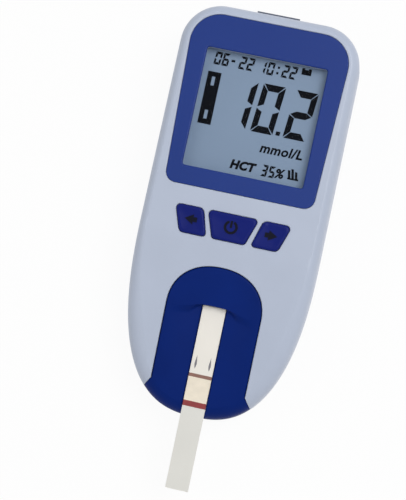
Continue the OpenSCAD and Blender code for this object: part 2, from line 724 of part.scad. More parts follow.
module zebra_strip() color([0.2, 0.2, 0.22])
    slab(1.5 - glass_w / 2, glass_w / 2 - 1.5, ledge_y + slip, glass_y0 - slip, board_z, glass_z);

module keypad_mat() color([0.2, 0.26, 0.55]) difference() {
    panel(key_in + key_w + 1.2, key_y0 - 1.6, key_y + 1.6, 1.5, board_z, board_z + mat_t);
    for (s = [-1, 0, 1]) post(key_x(s), key_mid_y, dome_r - dome_t, 0, big);
}

// A key with its plunger; the flange is wider than the opening, so the key can't fall out
module key(side) color([0.13, 0.17, 0.5]) {
    top = face_z + key_proud;
    ring_loft([at_z(key_shape(side, 0), key_base), at_z(key_shape(side, 0), top - 0.5),
        at_z(key_shape(side, -0.2), top - 0.15), at_z(key_shape(side, -0.55), top)]);
    translate([0, 0, key_base]) linear_extrude(flange_t) polygon(key_shape(side, key_fit + 0.15));
    post(key_x(side), key_mid_y, pill_r, pill_z + pill_t, key_base + 0.3);
}
module pill(side) color([0.1, 0.1, 0.1]) post(key_x(side), key_mid_y, pill_r, pill_z, pill_z + pill_t);
module dome(side) color([0.2, 0.26, 0.55]) translate([key_x(side), key_mid_y, board_z + mat_t]) difference() {
    cylinder(r1 = dome_r, r2 = dome_r - 0.9, h = dome_h);
    translate([0, 0, -0.01]) cylinder(r1 = dome_r - dome_t, r2 = dome_r - 0.9 - dome_t, h = dome_h + 0.02);
}
module key_left() key(-1);
module key_menu() key(0);
module key_right() key(1);
module pill_left() pill(-1);
module pill_menu() pill(0);
module pill_right() pill(1);
module dome_left() dome(-1);
module dome_menu() dome(0);
module dome_right() dome(1);

module pin_holes(r) for (i = [-2:2]) post(i * pin_pitch, header_y, r, 0, big);

module main_board() color([0.1, 0.4, 0.22]) difference() {
    translate([0, 0, board_under]) linear_extrude(board_t) polygon(rounded([
        [-board_half, board_bottom], [board_half, board_bottom],
        [board_half, board_top], [-board_half, board_top]
    ], [2, 2, 9, 9]));
    for (p = bosses) post(p[0], p[1], boss_r + 0.5, 0, big);
    for (p = posts) post(p[0], p[1], board_screw_r + 0.2, 0, big);
    pin_holes(pin_r + 0.13);
}

module contact_pads() color([0.85, 0.7, 0.3]) for (s = [-1, 0, 1])
    post(key_x(s), key_mid_y, pill_r + 0.4, board_z, board_z + pad_t);

// Parts under the main board
module chip(x, y, w, l, legs) translate([x, y, board_under - chip_t]) {
    slab(-w / 2, w / 2, -l / 2, l / 2, 0, chip_t - 0.1);
    for (s = [-1, 1], i = [0:legs - 1])
        translate([s * (w / 2 + 0.4), (i + 0.5) * l / legs - l / 2, chip_t - 0.25])
            slab(-0.5, 0.5, -0.15, 0.15, 0, 0.25);
}
module processor_chip() color([0.12, 0.12, 0.13])
    chip(-processor_w / 2 - 2, parts_y - processor_w / 2 - 1.5, processor_w, processor_w, 10);
module memory_chip() color([0.12, 0.12, 0.13])
    chip(memory_w / 2 + 3.5, parts_y - memory_l / 2 - 1.5, memory_w, memory_l, 4);
module crystal() color([0.75, 0.75, 0.76])
    translate([memory_w / 2 + 3.5, parts_y - memory_l - crystal_w / 2 - 2.8, 0])
        panel(crystal_l / 2, -crystal_w / 2, crystal_w / 2, 1, board_under - crystal_t, board_under);
module capacitors() color([0.3, 0.3, 0.35]) for (i = [0, 1])
    post(-13.5 - capacitor_r - i * (2 * capacitor_r + 1.5), parts_y - capacitor_r - 3, capacitor_r,
        board_under - capacitor_h, board_under);
module buzzer() color([0.1, 0.1, 0.1]) difference() {
    post(10.3 + buzzer_r, parts_y - buzzer_r - 0.85, buzzer_r, board_under - buzzer_h, board_under);
    post(10.3 + buzzer_r, parts_y - buzzer_r - 0.85, 0.9, 0, board_under - buzzer_h + 0.6);
}

module data_socket() color([0.75, 0.76, 0.78]) difference() {
    slab(-socket_w / 2, socket_w / 2, socket_y1 - socket_l, socket_y1, socket_z, board_under);
    slab(-socket_w / 2 + socket_t, socket_w / 2 - socket_t, socket_y1 - socket_l + 0.5, socket_y1 + 1,
        socket_z + socket_t, board_under - socket_t);
}
module socket_contacts() color([0.1, 0.1, 0.1]) slab(-socket_tongue / 2, socket_tongue / 2,
    socket_y1 - socket_l + 0.5, socket_y1 - 1.5,
    socket_z + socket_h / 2 - 0.4, socket_z + socket_h / 2 + 0.4);

// Rubber cover of the port, which turns about its lower edge
module port_cover() color([0.25, 0.27, 0.32]) {
    y0 = top_y - flap_seat;
    z0 = flap_z + flap_r;
    slab(-flap_w / 2, flap_w / 2, y0, top_y + flap_proud, z0, flap_z + flap_h);
    translate([-flap_w / 2, y0 + flap_r, z0]) rotate([0, 90, 0]) cylinder(r = flap_r, h = flap_w);
    slab(-socket_w / 2 + 0.8, socket_w / 2 - 0.8, y0 - 1, y0 + 0.1, socket_z + 0.9, board_under - 0.9);
}

module board_header() color([0.12, 0.12, 0.13]) difference() {
    slab(-2.56 * pin_pitch, 2.56 * pin_pitch, header_y - header_h / 2, header_y + header_h / 2,
        sensor_z, sensor_z + header_h);
    pin_holes(pin_r + 0.04);
}
module header_pins() color([0.85, 0.7, 0.3]) for (i = [-2:2])
    post(i * pin_pitch, header_y, pin_r, sensor_z - board_t, board_z + 0.5);

module sensor_board() color([0.1, 0.4, 0.22]) difference() {
    panel(sensor_hw, lens_y - block_l / 2 - 2.5, board_bottom + 3.4, 1, sensor_z - board_t, sensor_z);
    for (s = [-1, 1]) post(s * foot_x, lens_y, board_screw_r + 0.2, 0, big);
    pin_holes(pin_r + 0.13);
}

// Black block that holds the lamps and the photodiode under the strip
module optical_block() color([0.1, 0.1, 0.11]) difference() {
    union() {
        difference() {
            slab(-block_hw, block_hw, lens_y - block_l / 2, lens_y + block_l / 2, sensor_z, face_z);
            path_slab(big, -big, big, path_z - well_t - touch, big);
        }
        for (s = [-1, 1]) post(s * foot_x, lens_y, foot_r, sensor_z, sensor_z + foot_h);
        slab(-foot_x, foot_x, lens_y - foot_r, lens_y + foot_r, sensor_z, sensor_z + foot_h);
    }
    for (s = [-1, 0, 1]) post(s * lamp_x, lens_y, lamp_r + slip, sensor_z - 1, big);
    slab(-lamp_x - 0.9, lamp_x + 0.9, lens_y - 2.8, lens_y + 2.8, sensor_z + lamp_h + 2, big);
    for (s = [-1, 1]) post(s * foot_x, lens_y, board_screw_r + 0.2, 0, big);
}

module optical_window() color([0.85, 0.9, 0.95, 0.5])
    path_slab(lens_l / 2, lens_v - lens_l / 2, lens_v + lens_l / 2, path_z - lens_t, path_z - touch);

module read_lamps() color([0.9, 0.95, 0.9]) for (s = [-1, 1]) {
    post(s * lamp_x, lens_y, lamp_r, sensor_z, sensor_z + lamp_h);
    translate([s * lamp_x, lens_y, sensor_z + lamp_h]) sphere(r = lamp_r);
}
module photodiode() color([0.2, 0.2, 0.25]) {
    post(0, lens_y, lamp_r, sensor_z, sensor_z + lamp_h - 0.6);
    post(0, lens_y, lamp_r * 0.7, sensor_z + lamp_h - 0.7, sensor_z + lamp_h - 0.2);
}

// The scoop on both sides of the strip, from the hood to the tail
scoop_n = 8;
function scoop_ring(y) = let (
    edge = tray_hw - tray_rim,
    inner = channel_hw + 0.3,
    high = face_at(y) - tray_sink + 0.02,
    low = min(strip_at(y) + channel_d, high - 0.02)
) [
    [-edge, y, high], [-inner, y, low], [inner, y, low], [edge, y, high],
    [edge, y, face_z + 5], [-edge, y, face_z + 5]
];
module scoop_cut() {
    pts = [for (i = [0:scoop_n]) each scoop_ring(hood_y - (hood_y - tail_y + 3) * i / scoop_n)];
    sides = [for (j = [0:scoop_n - 1], i = [0:5]) let (k = (i + 1) % 6, b = j * 6)
        each [[b + i, b + 6 + i, b + 6 + k], [b + i, b + 6 + k, b + k]]];
    polyhedron(pts, concat(sides, [[0, 1, 2, 3, 4, 5]], [[for (i = [5:-1:0]) scoop_n * 6 + i]]));
}

// Tray that guides the strip; it slides out along the strip's path
ridge_v = -4.5; // where the guide ridges start
module strip_holder() color([0.1, 0.17, 0.42]) difference() {
    union() {
        difference() {
            intersection() {
                tray_prism(0, seam_z, face_z);
                translate([0, 0, -tray_sink]) upper_body(0, seam_z - 1);
            }
            // all that lies under the tray, apart from the apron at the tail
            difference() {
                path_slab(big, -big, big, -big, -tray_floor);
                slab(-big, big, -big, apron_y, -big, big);
            }
            // the apron's foot lies along the slide
            translate([0, tail_y, seam_z + 0.1]) rotate([strip_tilt, 0, 0])
                slab(-big, big, -big, big, -big, 0);
            scoop_cut();
        }
        along_strip() for (s = [-1, 1]) translate([s * (tray_hw + ridge_d / 2 - 0.2), 0, 0])
            slab(-ridge_d / 2 - 0.2, ridge_d / 2, ridge_v - ridge_l, ridge_v, -0.6, 0.4);
    }
    // channel of the strip, under the hood as well
    path_slab(channel_hw, -big, strip_in + 0.4, 0, channel_d + 0.4);
    path_slab(channel_hw, -big, 0, 0, 10);
    // the light's way from below
    path_slab(lens_l / 3 - 0.2, lens_v - lens_l / 3, lens_v + lens_l / 3, -big, 0.1);
}

module strip_base() color([0.93, 0.93, 0.9]) path_slab(strip_w / 2, strip_end, strip_in, touch, strip_t);
module strip_film() color([0.95, 0.92, 0.88])
    path_slab(film_w / 2, (tail_y - hood_y) / cos(strip_tilt) + 6, -0.3, strip_t, strip_t + film_t);
module reagent_pad() color([0.95, 0.9, 0.7])
    path_slab(film_w / 2, 1, strip_in - 1, strip_t, strip_t + reagent_t);

// Battery cover, which turns about the outer edge of its seat on two tongues
module battery_cover() color([0.69, 0.73, 0.8]) {
    y0 = pocket_y0 + cover_fit;
    y1 = pocket_y1 - cover_fit;
    top = cover_sink + cover_t;
    tongue_z = wall + 0.15;
    slot_x = latch_hw + 1.4;
    difference() {
        panel(pocket_hw - cover_fit, y0, y1, 1.8, cover_sink, top);
        // finger grip and the slots that free the latch
        for (i = [0:4]) slab(-latch_hw, latch_hw, y1 - 8 + i * 1.3, y1 - 7.4 + i * 1.3, 0, cover_sink + 0.35);
        for (s = [-1, 1]) slab(s * slot_x - 0.4, s * slot_x + 0.4, y1 - 9, y1 + 1, 0, big);
    }
    slab(-latch_hw, latch_hw, y1 - 1.1, y1, top - 0.4, latch_z);
    for (s = [-1, 1]) translate([s * tongue_x, 0, 0]) {
        slab(-tongue_w / 2, tongue_w / 2, y0, y0 + 1.2, top - 0.4, tongue_z + tongue_t);
        slab(-tongue_w / 2, tongue_w / 2, pocket_y0 - tongue_l, y0 + 1.2, tongue_z, tongue_z + tongue_t);
    }
}

function cell_x(i) = (i - (cell_n - 1) / 2) * cell_pitch;
function flipped(i) = i % 2 == 1;
module batteries() for (i = [0:cell_n - 1]) translate([cell_x(i), (bay_y0 + bay_y1) / 2, cell_z])
    rotate([0, 0, flipped(i) ? 180 : 0]) translate([0, bay_l / 2 - plate_t - 0.05, 0]) rotate([90, 0, 0]) {
        color([0.75, 0.6, 0.2]) post(0, 0, cell_d / 2, 1, cell_l);
        color([0.8, 0.8, 0.8]) post(0, 0, 1.9, 0, 1.1);
    }

// At each end, one plate with a tab up to the board and one that bridges a pair of cells
module battery_contacts() color([0.8, 0.8, 0.78]) {
    h = cell_d / 2 - 0.6;
    last = cell_x(cell_n - 1);
    for (s = [-1, 1]) {
        y = s < 0 ? bay_y0 + touch : bay_y1 - plate_t - touch;
        slab(s * last - h, s * last + h, y, y + plate_t, cell_z - h, cell_z + h);
        slab(s * tab_x - 1.5, s * tab_x + 1.5, y, y + plate_t, cell_z, board_under);
        slab(min(-s * last, 0) - h, max(-s * last, 0) + h, y, y + plate_t, cell_z - h, cell_z + h);
    }
}

// Conical contact springs, swept along their wire
spring_turns = 3;
spring_steps = 14;
spring_sides = 6;
function spring_point(t) = let (s = t / spring_turns, r = cell_d * 0.35 - 1.5 * s)
    [r * cos(360 * t), r * sin(360 * t), spring_wire / 2 + 0.04 + (spring_l - spring_wire - 0.08) * s];
module spring() {
    n = spring_turns * spring_steps;
    pts = [for (i = [0:n]) let (
        c = spring_point(i / spring_steps),
        out = [cos(360 * i / spring_steps), sin(360 * i / spring_steps), 0]
    ) for (k = [0:spring_sides - 1]) let (a = 360 * k / spring_sides)
        c + spring_wire / 2 * (out * cos(a) + [0, 0, sin(a)])];
    walls = [for (i = [0:n - 1], k = [0:spring_sides - 1])
        let (m = (k + 1) % spring_sides, b = i * spring_sides, e = b + spring_sides)
        each [[b + k, e + m, e + k], [b + k, b + m, e + m]]];
    lids = [[for (k = [spring_sides - 1:-1:0]) k], [for (k = [0:spring_sides - 1]) n * spring_sides + k]];
    polyhedron(pts, concat(walls, lids));
}
module battery_springs() color([0.8, 0.8, 0.8]) for (i = [0:cell_n - 1])
    translate([cell_x(i), flipped(i) ? bay_y1 - plate_t - touch : bay_y0 + plate_t + touch, cell_z])
        rotate([flipped(i) ? 90 : -90, 0, 0]) spring();

module screw(r, l, hr, hh) {
    difference() {
        post(0, 0, hr, -hh, 0);
        for (a = [0, 90]) rotate(a) slab(-hr * 0.6, hr * 0.6, -0.2, 0.2, -hh - 1, -hh + 0.6);
    }
    post(0, 0, r, 0, l);
}
module case_screws() color([0.6, 0.6, 0.62])
    for (p = bosses) translate([p[0], p[1], seat_z]) screw(screw_r, screw_l, head_r, head_h);
module board_screw() screw(board_screw_r, board_screw_l, board_head_r, board_head_h);
module board_screws() color([0.6, 0.6, 0.62]) {
    for (p = posts) translate([p[0], p[1], board_under]) board_screw();
    for (s = [-1, 1]) translate([s * foot_x, lens_y, sensor_z + foot_h]) rotate([180, 0, 0]) board_screw();
}

front_shell();
rear_shell();
display_window();
window_border();
lcd_glass();
lcd_segments();
lcd_reflector();
lcd_frame();
zebra_strip();
keypad_mat();
key_left();
key_menu();
key_right();
pill_left();
pill_menu();
pill_right();
dome_left();
dome_menu();
dome_right();
main_board();
contact_pads();
processor_chip();
memory_chip();
crystal();
capacitors();
buzzer();
data_socket();
socket_contacts();
port_cover();
board_header();
header_pins();
sensor_board();
optical_block();
optical_window();
read_lamps();
photodiode();
strip_holder();
strip_base();
strip_film();
reagent_pad();
battery_cover();
batteries();
battery_contacts();
battery_springs();
case_screws();
board_screws();
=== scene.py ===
"""Hemoglobin meter with its test strip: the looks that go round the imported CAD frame."""

import math

import bmesh
import bpy
import numpy as np
from mathutils import Matrix, Vector


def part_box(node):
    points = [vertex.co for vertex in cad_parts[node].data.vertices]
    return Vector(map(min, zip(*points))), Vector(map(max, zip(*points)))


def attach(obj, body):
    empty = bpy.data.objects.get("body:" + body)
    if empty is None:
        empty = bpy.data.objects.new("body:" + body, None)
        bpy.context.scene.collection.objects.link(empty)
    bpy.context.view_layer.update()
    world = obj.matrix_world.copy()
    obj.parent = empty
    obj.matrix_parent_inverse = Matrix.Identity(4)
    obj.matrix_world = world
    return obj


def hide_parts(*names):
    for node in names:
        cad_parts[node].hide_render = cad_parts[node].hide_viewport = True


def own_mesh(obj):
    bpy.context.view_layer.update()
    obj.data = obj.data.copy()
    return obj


MM = 0.001

# Sizes in millimetres, the same as in the part's source
TOP_Y, TAIL_Y, MID_Y = 63.5, -63.5, -8.5
HEAD_W, BODY_W = 56.8, 57.2
CORNER_R, TAIL_POWER, TAIL_DROP = 13.0, 2.55, 7.2
FACE_Z, SEAM_Z = 24.3, 10.0
FACE_ROUND, TAIL_ROUND, EDGE_H = 3.4, 6.5, 5.0
BACK_ROUND, BACK_H, TAIL_RISE, RISE_L = 4.5, 5.5, 3.0, 18.0
DRAFT = 0.35
CREST = 2.0  # half the width over which the face's fall runs into the rounded edge
FALL_Y, FALL_POWER = -10.0, 1.25
BLEND_Y, BLEND_L = -5.0, 40.0
WINDOW_Y, WINDOW_FOOT = 59.5, 6.2
WINDOW_W, WINDOW_W2 = 49.8, 45.9
WINDOW_R, WINDOW_R2 = 9.1, 3.2
PANEL_Z, BORDER_T = 22.8, 0.5
VIEW_W, VIEW_TOP, VIEW_FOOT = 37.5, 49.1, 12.0
GLASS_TOP, SEGMENT_T = 20.8, 0.06
KEY_Y, KEY_FOOT, KEY_TOP, KEY_BASE = 0.0, -8.4, 25.0, 18.9
KEY_MID, KEY_IN, KEY_W = 7.9, 9.4, 8.7
MID_LEAN = 0.34 * (KEY_Y - KEY_FOOT)
SIDE_LEAN = MID_LEAN * 0.87
KEY_FIT, FLANGE_T, PILL_R, PILL_TOP = 0.2, 0.8, 1.6, 18.0
TRAY_HW, ARCH_Y, ARCH_L, ARCH_POWER = 14.75, -16.6, 13.4, 2.2
HOOD_Y, FLARE_Y, FLARE_LEAN = -28.4, -53.8, 0.65
TRAY_SINK, TRAY_RIM, TRAY_FLOOR = 0.3, 1.35, 2.0
STRIP_Z, STRIP_TILT = 19.104, math.radians(4.5)
CHANNEL_HW, CHANNEL_D = 4.0, 0.9
SEAT_FOOT, SEAT_FIT, SEAT_R = -3.95, 0.2, 2.0
SCREWS, SCREW_HOLE_R = ((22.0, 55.0), (-22.0, 55.0), (21.2, -36.0), (-21.2, -36.0)), 2.3
FIELD_HW, FIELD_DEPTH, LIP_TOP = 16.5, 0.25, 19.0
APRON_Y = -56.4
STRIP_HW, STRIP_T, FILM_T = 3.6, 0.3, 0.15

SKIN = 0.6  # depth of the finely modelled outside of a shell
INSIDE_ANGLE = 3.0  # edges sharper than this many degrees show as edges inside a shell
ON_SURFACE = 0.03  # how near a face lies to a surface whose normals it takes
STEEP = 0.4  # least upright part of the normal of such a face
ALIKE = 0.985  # least cosine between its own normal and the surface's
VISIBLE_FIT = 0.09  # gap at the face round the keys and the tray
WINDOW_FIT = 0.14
OVERLAP = 0.1  # how far the shell's inside reaches into that outside


# Plain geometry
def smooth(s):
    t = min(max(s, 0.0), 1.0)
    return t * t * (3 - 2 * t)


def face_at(y):
    return FACE_Z - TAIL_DROP * (max(0.0, FALL_Y - y) / (FALL_Y - TAIL_Y)) ** FALL_POWER


def back_at(y):
    return TAIL_RISE * smooth((TAIL_Y + RISE_L - y) / RISE_L)


def strip_at(y):
    return STRIP_Z + (y - HOOD_Y) * math.tan(STRIP_TILT)


def on_strip(x, v, w):
    """A point given across, along and above the strip's path, in the row frame."""
    c, s = math.cos(STRIP_TILT), math.sin(STRIP_TILT)
    return (x, HOOD_Y + v * c - w * s, STRIP_Z + v * s + w * c)


def half_rim(corner_n=16, side_n=6, tail_n=64):
    """The rim from the top end to the tail: place and outward direction."""
    points = []
    for i in range(corner_n + 1):
        a = math.pi / 2 * (1 - i / corner_n)
        points.append((HEAD_W / 2 - CORNER_R * (1 - math.cos(a)), TOP_Y - CORNER_R * (1 - math.sin(a)),
                       math.cos(a), math.sin(a)))
    side_l = TOP_Y - CORNER_R - MID_Y
    for i in range(1, side_n):
        k = i / side_n
        points.append((HEAD_W / 2 + (BODY_W - HEAD_W) / 2 * k, TOP_Y - CORNER_R - side_l * k, 1.0, 0.0))
    tail_l = MID_Y - TAIL_Y
    for i in range(tail_n + 1):
        t = math.pi / 2 * i / tail_n
        c = max(math.cos(t), 0.0) ** (2 / TAIL_POWER)
        s = math.sin(t) ** (2 / TAIL_POWER)
        if i == tail_n:
            c = 0.0
        nx, ny = c ** (TAIL_POWER - 1) * tail_l, -(s ** (TAIL_POWER - 1)) * BODY_W / 2
        d = math.hypot(nx, ny)
        points.append((BODY_W / 2 * c, MID_Y - tail_l * s, nx / d, ny / d))
    return points


HALF = half_rim()
RIM = [(-x, y, -nx, ny) for x, y, nx, ny in HALF] + HALF[-2::-1]
ROUND_STEPS = [math.radians(90 * i / 12) for i in range(13)]


def round_at(y):
    return FACE_ROUND + (TAIL_ROUND - FACE_ROUND) * smooth((BLEND_Y - y) / BLEND_L)


def flat_ring(g, z):
    return [(x - nx * g, y - ny * g, z) for x, y, nx, ny in RIM]


def crest(y, ny, inset):
    """Height of the face that far in from the rim, with its fall run softly into the rounded edge."""
    r = round_at(y)
    top = face_at(y - ny * r)
    return top + smooth((inset - r + CREST) / (2 * CREST)) * (face_at(y - ny * inset) - top)


def face_ring(g, a):
    ring = []
    for x, y, nx, ny in RIM:
        s = g + DRAFT
        inset = s + (round_at(y) - s) * (1 - math.cos(a))
        z = crest(y, ny, inset) - EDGE_H + (EDGE_H - g) * math.sin(a)
        ring.append((x - nx * inset, y - ny * inset, z))
    return ring


def plateau_ring(g, past):
    """A ring of the face itself, just past its rounded edge."""
    ring = []
    for x, y, nx, ny in RIM:
        inset = round_at(y) + past
        ring.append((x - nx * inset, y - ny * inset, crest(y, ny, inset) - g))
    return ring


def back_ring(g, a):
    ring = []
    for x, y, nx, ny in RIM:
        z = back_at(y - ny * BACK_ROUND)
        s = g + DRAFT
        inset = s + (BACK_ROUND - s) * (1 - math.cos(a))
        ring.append((x - nx * inset, y - ny * inset, z + BACK_H - (BACK_H - g) * math.sin(a)))
    return ring


def fillet(a, b, c, r, n):
    """Points of the arc that rounds corner b, between a and c."""
    a, b, c = Vector(a), Vector(b), Vector(c)
    u, v = (a - b).normalized(), (c - b).normalized()
    half = math.acos(max(-1.0, min(1.0, u.dot(v)))) / 2
    m = b + (u + v).normalized() * (r / math.sin(half))
    s = b + u * (r / math.tan(half)) - m
    e = b + v * (r / math.tan(half)) - m
    sweep = math.pi - 2 * half
    turn = 1 if s.x * e.y - s.y * e.x > 0 else -1
    arc = []
    for i in range(n + 1):
        t = turn * sweep * i / n
        arc.append((m.x + s.x * math.cos(t) - s.y * math.sin(t), m.y + s.x * math.sin(t) + s.y * math.cos(t)))
    return arc


def rounded(corners, radii, n=8):
    """A closed outline with each corner rounded by its own radius."""
    count = len(corners)
    outline = []
    for i in range(count):
        outline += fillet(corners[i - 1], corners[i], corners[(i + 1) % count], radii[i], n)
    return outline


def panel_shape(hw, y0, y1, r, n=6):
    return rounded([(-hw, y0), (hw, y0), (hw, y1), (-hw, y1)], [r] * 4, n)


def window_shape(g):
    a, b = WINDOW_W2 / 2 + g, WINDOW_W / 2 + g
    return rounded([(-a, WINDOW_FOOT - g), (a, WINDOW_FOOT - g), (b, WINDOW_Y + g), (-b, WINDOW_Y + g)],
                   [WINDOW_R2 + g, WINDOW_R2 + g, WINDOW_R + g, WINDOW_R + g], 12)


def view_shape(g):
    return panel_shape(VIEW_W / 2 + g, VIEW_FOOT - g, VIEW_TOP + g, 0.8 + g)


def key_shape(side, g):
    y0, y1 = KEY_FOOT - g, KEY_Y + g
    if side == 0:
        low, high = KEY_MID - MID_LEAN + g, KEY_MID + g
        return rounded([(-low, y0), (low, y0), (high, y1), (-high, y1)], [1.2] * 4)
    shape = rounded([(KEY_IN - SIDE_LEAN - g, y0), (KEY_IN + KEY_W - SIDE_LEAN - 0.4 + g, y0),
                     (KEY_IN + KEY_W + g, y1), (KEY_IN - g, y1)], [1.0, 1.8, 1.3, 1.8])
    return shape if side > 0 else [(-x, y) for x, y in reversed(shape)]


def key_x(side):
    return side * (KEY_IN + KEY_W / 2 - SIDE_LEAN / 2 - 0.1)


ARCH_N, SIDE_N, FLARE_N = 72, 20, 28  # steps along the tray's outline: arch, one side, one flared end


def tray_shape(g):
    """Outline of the tray in plan, grown by g, with closely set points; it runs out past the tail."""
    arch = []
    for i in range(ARCH_N + 1):
        t = math.pi * i / ARCH_N
        c = math.cos(t)
        x = (TRAY_HW + g) * math.copysign(abs(c) ** (2 / ARCH_POWER), c)
        arch.append((x, ARCH_Y - ARCH_L + (ARCH_L + g) * math.sin(t) ** (2 / ARCH_POWER)))
    start_y, turn_y, reach = ARCH_Y - ARCH_L, FLARE_Y + 0.35 * g, 14.0
    left = [(-TRAY_HW - g, start_y + (turn_y - start_y) * i / SIDE_N) for i in range(1, SIDE_N + 1)]
    for i in range(1, FLARE_N + 1):
        left.append((-TRAY_HW - g - FLARE_LEAN * reach * i / FLARE_N, turn_y - reach * i / FLARE_N))
    right = [(-x, y) for x, y in reversed(left)]
    return arch + left + right


# Meshes
class Build:
    """Collects points and faces in millimetres."""

    def __init__(self):
        self.points = []
        self.faces = []

    def ring(self, points):
        first = len(self.points)
        self.points += [tuple(p) for p in points]
        return list(range(first, first + len(points)))

    def bridge(self, a, b):
        n = len(a)
        for i in range(n):
            k = (i + 1) % n
            self.faces.append((a[i], a[k], b[k], b[i]))

    def lid(self, ring):
        self.faces.append(tuple(ring))

    def ladder(self, ring):
        """Closes a ring that mirrors itself left to right with strips straight across it."""
        half = (len(ring) - 1) // 2
        for k in range(half):
            a = len(ring) - 1 - k
            if k == half - 1:
                self.faces.append((ring[k], ring[k + 1], ring[a]))
            else:
                self.faces.append((ring[k], ring[k + 1], ring[a - 1], ring[a]))

    def loft(self, rings, low="lid", high="lid"):
        loops = [self.ring(r) for r in rings]
        for a, b in zip(loops, loops[1:]):
            self.bridge(a, b)
        for loop, kind in ((loops[0], low), (loops[-1], high)):
            if kind:
                getattr(self, kind)(loop)
        return loops

    def prism(self, outline, z0, z1):
        """An upright solid with that outline."""
        self.loft([[(x, y, z) for x, y in outline] for z in (z0, z1)])

    def turned(self, profile, place, sides=48):
        """A solid of revolution; place(r cos, r sin, h) puts its points in the row frame."""
        rings = [[place(r * math.cos(2 * math.pi * k / sides), r * math.sin(2 * math.pi * k / sides), h)
                  for k in range(sides)] for r, h in profile]
        self.loft(rings)

    def mesh(self, name):
        mesh = bpy.data.meshes.new(name)
        mesh.from_pydata([(x * MM, y * MM, z * MM) for x, y, z in self.points], [], self.faces)
        bm = bmesh.new()
        bm.from_mesh(mesh)
        bmesh.ops.recalc_face_normals(bm, faces=bm.faces)
        bm.to_mesh(mesh)
        bm.free()
        return mesh


def new_object(name, mesh):
    obj = bpy.data.objects.new(name, mesh)
    bpy.context.scene.collection.objects.link(obj)
    return obj


def evaluated(obj):
    """The mesh that the object shows."""
    bpy.context.view_layer.update()
    graph = bpy.context.evaluated_depsgraph_get()
    return bpy.data.meshes.new_from_object(obj.evaluated_get(graph))


def applied(obj):
    """Turns the object's modifiers into its mesh."""
    mesh = evaluated(obj)
    obj.modifiers.clear()
    obj.data = mesh
    return obj


def carve(obj, tools, operation="DIFFERENCE"):
    """Cuts obj by each tool, or keeps what is in it, and removes the tools."""
    for tool in tools:
        cut = obj.modifiers.new("carve", "BOOLEAN")
        cut.operation = operation
        cut.solver = "EXACT"
        cut.object = tool
    applied(obj)
    for tool in tools:
        bpy.data.objects.remove(tool)
    return obj


def welded_copy(node, name):
    """A closed copy of a CAD node's mesh."""
    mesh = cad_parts[node].data.copy()
    bm = bmesh.new()
    bm.from_mesh(mesh)
    bmesh.ops.remove_doubles(bm, verts=bm.verts, dist=1e-7)
    bm.to_mesh(mesh)
    bm.free()
    mesh.materials.clear()
    return new_object(name, mesh)


def join(obj, *others):
    """Joins other objects' meshes into obj's mesh."""
    bm = bmesh.new()
    for o in (obj, *others):
        bm.from_mesh(o.data)
    bm.to_mesh(obj.data)
    bm.free()
    for o in others:
        bpy.data.objects.remove(o)
    return obj


def shade(obj, angle=34.0):
    mesh = obj.data
    mesh.shade_smooth()
    mesh.set_sharp_from_angle(angle=math.radians(angle))
    weigh = obj.modifiers.new("weighted", "WEIGHTED_NORMAL")
    weigh.keep_sharp = True
    weigh.weight = 60
    return obj


def slope_at(surface, x, y, d=0.05):
    """The upward normal of the surface z(x, y), from heights d to each side."""
    across = surface(x - d, y) - surface(x + d, y)
    along = surface(x, y - d) - surface(x, y + d)
    return Vector((across, along, 2 * d)).normalized()


def true_normals(obj, surfaces, up):
    """Shades the mesh, where it lies on one of the surfaces z(x, y), with that surface's own normals."""
    mesh = applied(obj).data
    normals = [tuple(n.vector) for n in mesh.corner_normals]
    for face in mesh.polygons:
        centre = face.center / MM
        near = [s for s in surfaces if abs(s(centre.x, centre.y) - centre.z) < ON_SURFACE]
        if face.normal.z * up < STEEP or not near:
            continue
        for corner in face.loop_indices:
            x, y, _ = mesh.vertices[mesh.loops[corner].vertex_index].co / MM
            normal = slope_at(near[0], x, y) * up
            if normal.dot(face.normal) > ALIKE:
                normals[corner] = tuple(normal)
    mesh.normals_split_custom_set(normals)


def piece(obj, body, material, replaces=(), angle=34.0, surfaces=(), up=1):
    obj.data.materials.clear()
    obj.data.materials.append(material)
    for face in obj.data.polygons:
        face.material_index = 0
    shade(obj, angle)
    if surfaces:
        true_normals(obj, surfaces, up)
    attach(obj, body)
    if replaces:
        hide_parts(*replaces)
    return obj


# Materials
RELIEF = 0.00008  # height of the grain at full bump, in metres


def ramp(tree, source, low, high, out_low, out_high):
    node = tree.nodes.new("ShaderNodeMapRange")
    node.inputs["From Min"].default_value = low
    node.inputs["From Max"].default_value = high
    node.inputs["To Min"].default_value = out_low
    node.inputs["To Max"].default_value = out_high
    tree.links.new(source, node.inputs["Value"])
    return node.outputs["Result"]


def noise(tree, coords, scale, detail=3.0):
    node = tree.nodes.new("ShaderNodeTexNoise")
    node.inputs["Scale"].default_value = scale
    node.inputs["Detail"].default_value = detail
    tree.links.new(coords, node.inputs["Vector"])
    return node.outputs["Fac"]


def mix(tree, factor, a, b):
    node = tree.nodes.new("ShaderNodeMix")
    node.data_type = "RGBA"
    tree.links.new(factor, node.inputs["Factor"])
    for value, socket in ((a, node.inputs["A"]), (b, node.inputs["B"])):
        if isinstance(value, tuple):
            socket.default_value = value
        else:
            tree.links.new(value, socket)
    return node.outputs["Result"]


def linear(rgb):
    """Display colour from 0 to 255 as a linear colour."""
    parts = [c / 255 for c in rgb]
    return tuple(c / 12.92 if c <= 0.04045 else ((c + 0.055) / 1.055) ** 2.4 for c in parts)


def new_material(name):
    material = bpy.data.materials.new(name)
    material.use_nodes = True
    tree = material.node_tree
    return material, tree, tree.nodes["Principled BSDF"]


